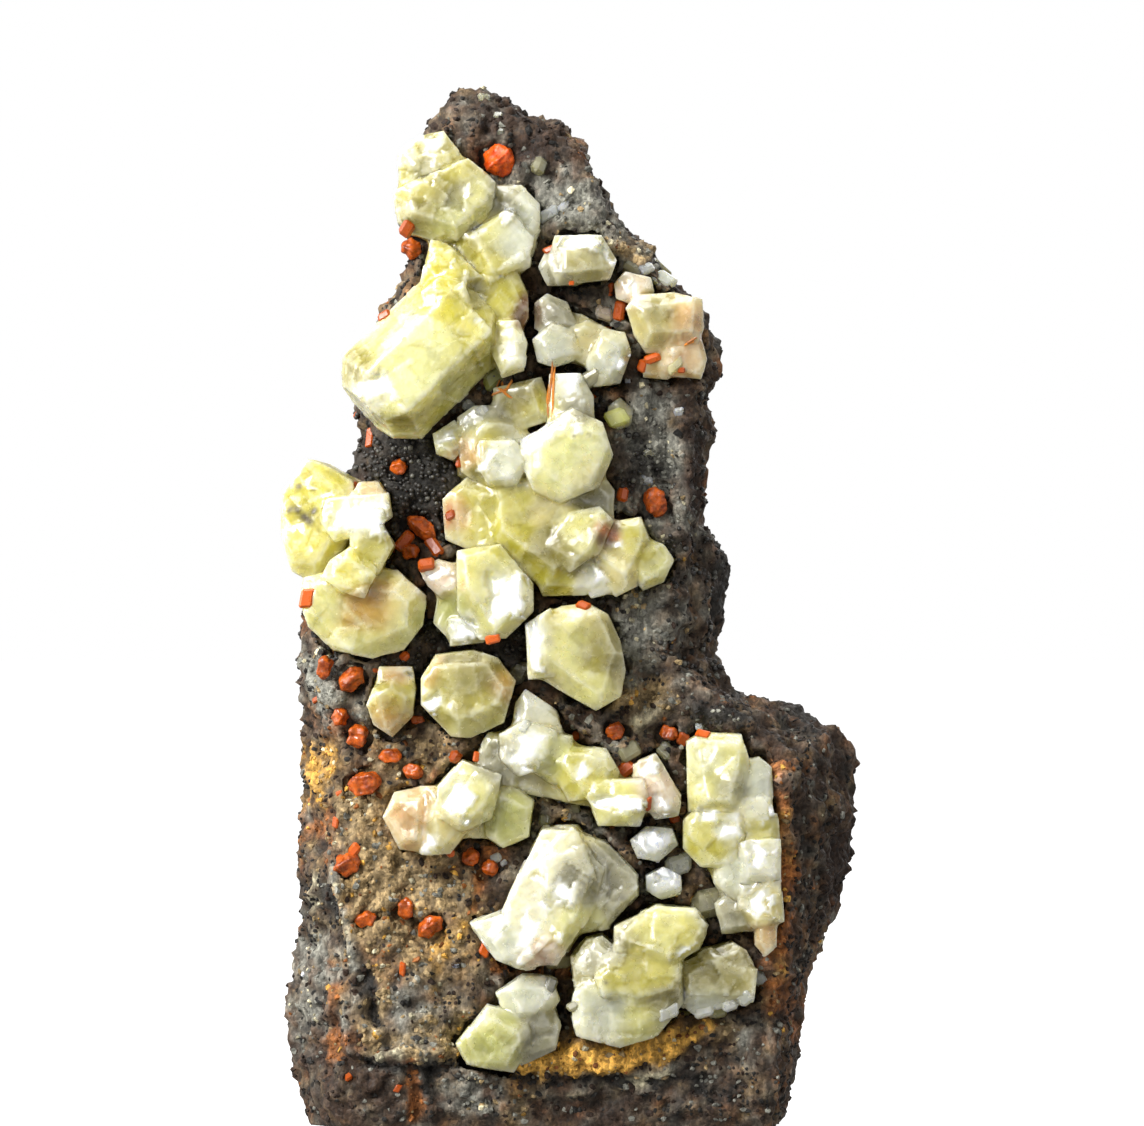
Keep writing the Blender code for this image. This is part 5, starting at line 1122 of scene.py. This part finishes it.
def lay_small_crystals(surface, cerussite, crocoite):
    """Joins the crystals that are too small for solids of their own."""
    chance = random.Random(SEED + 1)
    prisms = [(*prism, PRISM_TINT) for prism in SMALL_CROCOITE]
    needles = [(x, z, long, NEEDLE_WIDTH, turn, NEEDLE_TINT) for x, z, long, turn in NEEDLES]
    red, pale = [], []
    for x, z, length, width, degrees, tint in prisms + needles:
        at, out = landed(surface, x, z)
        if at:
            tone = chance.uniform(*PRISM_TONES)
            shape = loose_crystal(at, out, length, width, degrees, chance)
            red.append((*shape, [c * tone for c in tint]))
    for x, z, length, width, degrees, tint in SMALL_CERUSSITE:
        at, out = landed(surface, x, z)
        if at:
            shape = loose_crystal(at - out * SUNK * width, out, length, width, degrees, chance)
            pale.append((*shape, [c**TINT_DEPTH for c in TINTS[tint]]))
    joined("small_crocoites", red, crocoite, False)
    joined("small_cerussites", pale, cerussite, False)


def surface_of(pieces):
    """A tree of all faces of some pieces, in millimetres."""
    points, faces = [], []
    for piece in pieces:
        first = len(points)
        points.extend(v.co / MM for v in piece.data.vertices)
        faces.extend([first + i for i in face.vertices] for face in piece.data.polygons)
    return BVHTree.FromPolygons(points, faces)


def studio_floor():
    """A pale floor that the specimen stands on."""
    bm = bmesh.new()
    bmesh.ops.create_circle(bm, cap_ends=True, segments=96, radius=FLOOR_RADIUS)
    mesh = bpy.data.meshes.new("studio_floor")
    bm.to_mesh(mesh)
    bm.free()
    made = Nodes(bpy.data.materials.new("floor"))
    made.set(
        Base_Color=(FLOOR_GREY,) * 3, Roughness=1.0, Specular_IOR_Level=0.0,
        Emission_Color=(1.0, 1.0, 1.0), Emission_Strength=FLOOR_GLOW,
    )
    mesh.materials.append(made.owner)
    floor = new_object("studio_floor", mesh)
    floor.visible_diffuse = floor.visible_glossy = False


def studio_lights():
    """Square lights that face the specimen's middle, and a bright world around the horizon."""
    target = Vector((0, 0, VIEW_CENTRE[1] * MM))
    for name, (at, size, power) in LIGHTS.items():
        data = bpy.data.lights.new(name, "AREA")
        data.energy = power
        data.size = size
        light = new_object(name, data)
        light.location = at
        light.rotation_euler = (target - Vector(at)).to_track_quat("-Z", "Y").to_euler()
    world = bpy.data.worlds.new("studio")
    bpy.context.scene.world = world
    made = Nodes(world, "Background")
    direction = made.add("ShaderNodeSeparateXYZ", made.coordinates.outputs["Generated"])
    height = made.add("ShaderNodeMath", direction.outputs["Z"], operation="ABSOLUTE")
    made.set(Color=made.ramp(height, *WORLD_HEIGHTS, *WORLD_GLOW), Strength=1.0)


def camera():
    """A long lens in front of the specimen, level with the middle of the view."""
    data = bpy.data.cameras.new("camera")
    data.lens = LENS
    data.sensor_width = SENSOR
    data.clip_end = 20.0
    made = new_object("camera", data)
    distance = VIEW_WIDTH * LENS / SENSOR
    across, up = VIEW_CENTRE
    made.location = Vector((across, FRONT_Y + VIEW_DEPTH - distance, up)) * MM
    made.rotation_euler = (math.radians(90), 0, 0)
    bpy.context.scene.camera = made


bpy.context.scene.view_settings.view_transform = "Standard"
camera()
studio_lights()
studio_floor()
gossan = rock_material()
crocoite = crocoite_material("crocoite", srgb(122, 48, 10), srgb(196, 90, 20))
bright_crocoite = crocoite_material("crocoite_bright", srgb(176, 56, 8), srgb(224, 92, 20))
cerussites = {
    share: cerussite_material(f"cerussite_{round(share * 100)}", share)
    for share in sorted(set(CLARITY.values()))
}
rock = grow_rock(gossan)
crystals = [grow_crystals(name, cerussites[share]) for name, share in CLARITY.items()]
crystals += [
    grow_crocoite(node, bright_crocoite if node == "crocoite_01" else crocoite)
    for node in sorted(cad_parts) if "crocoite" in node
]
scatter_grains(rock, surface_of(crystals), gossan, druse_material())
lay_small_crystals(
    surface_of([rock] + crystals), cerussite_material("cerussite_clear", SMALL_CLARITY, "zone"),
    crocoite_material("crocoite_small"),
)
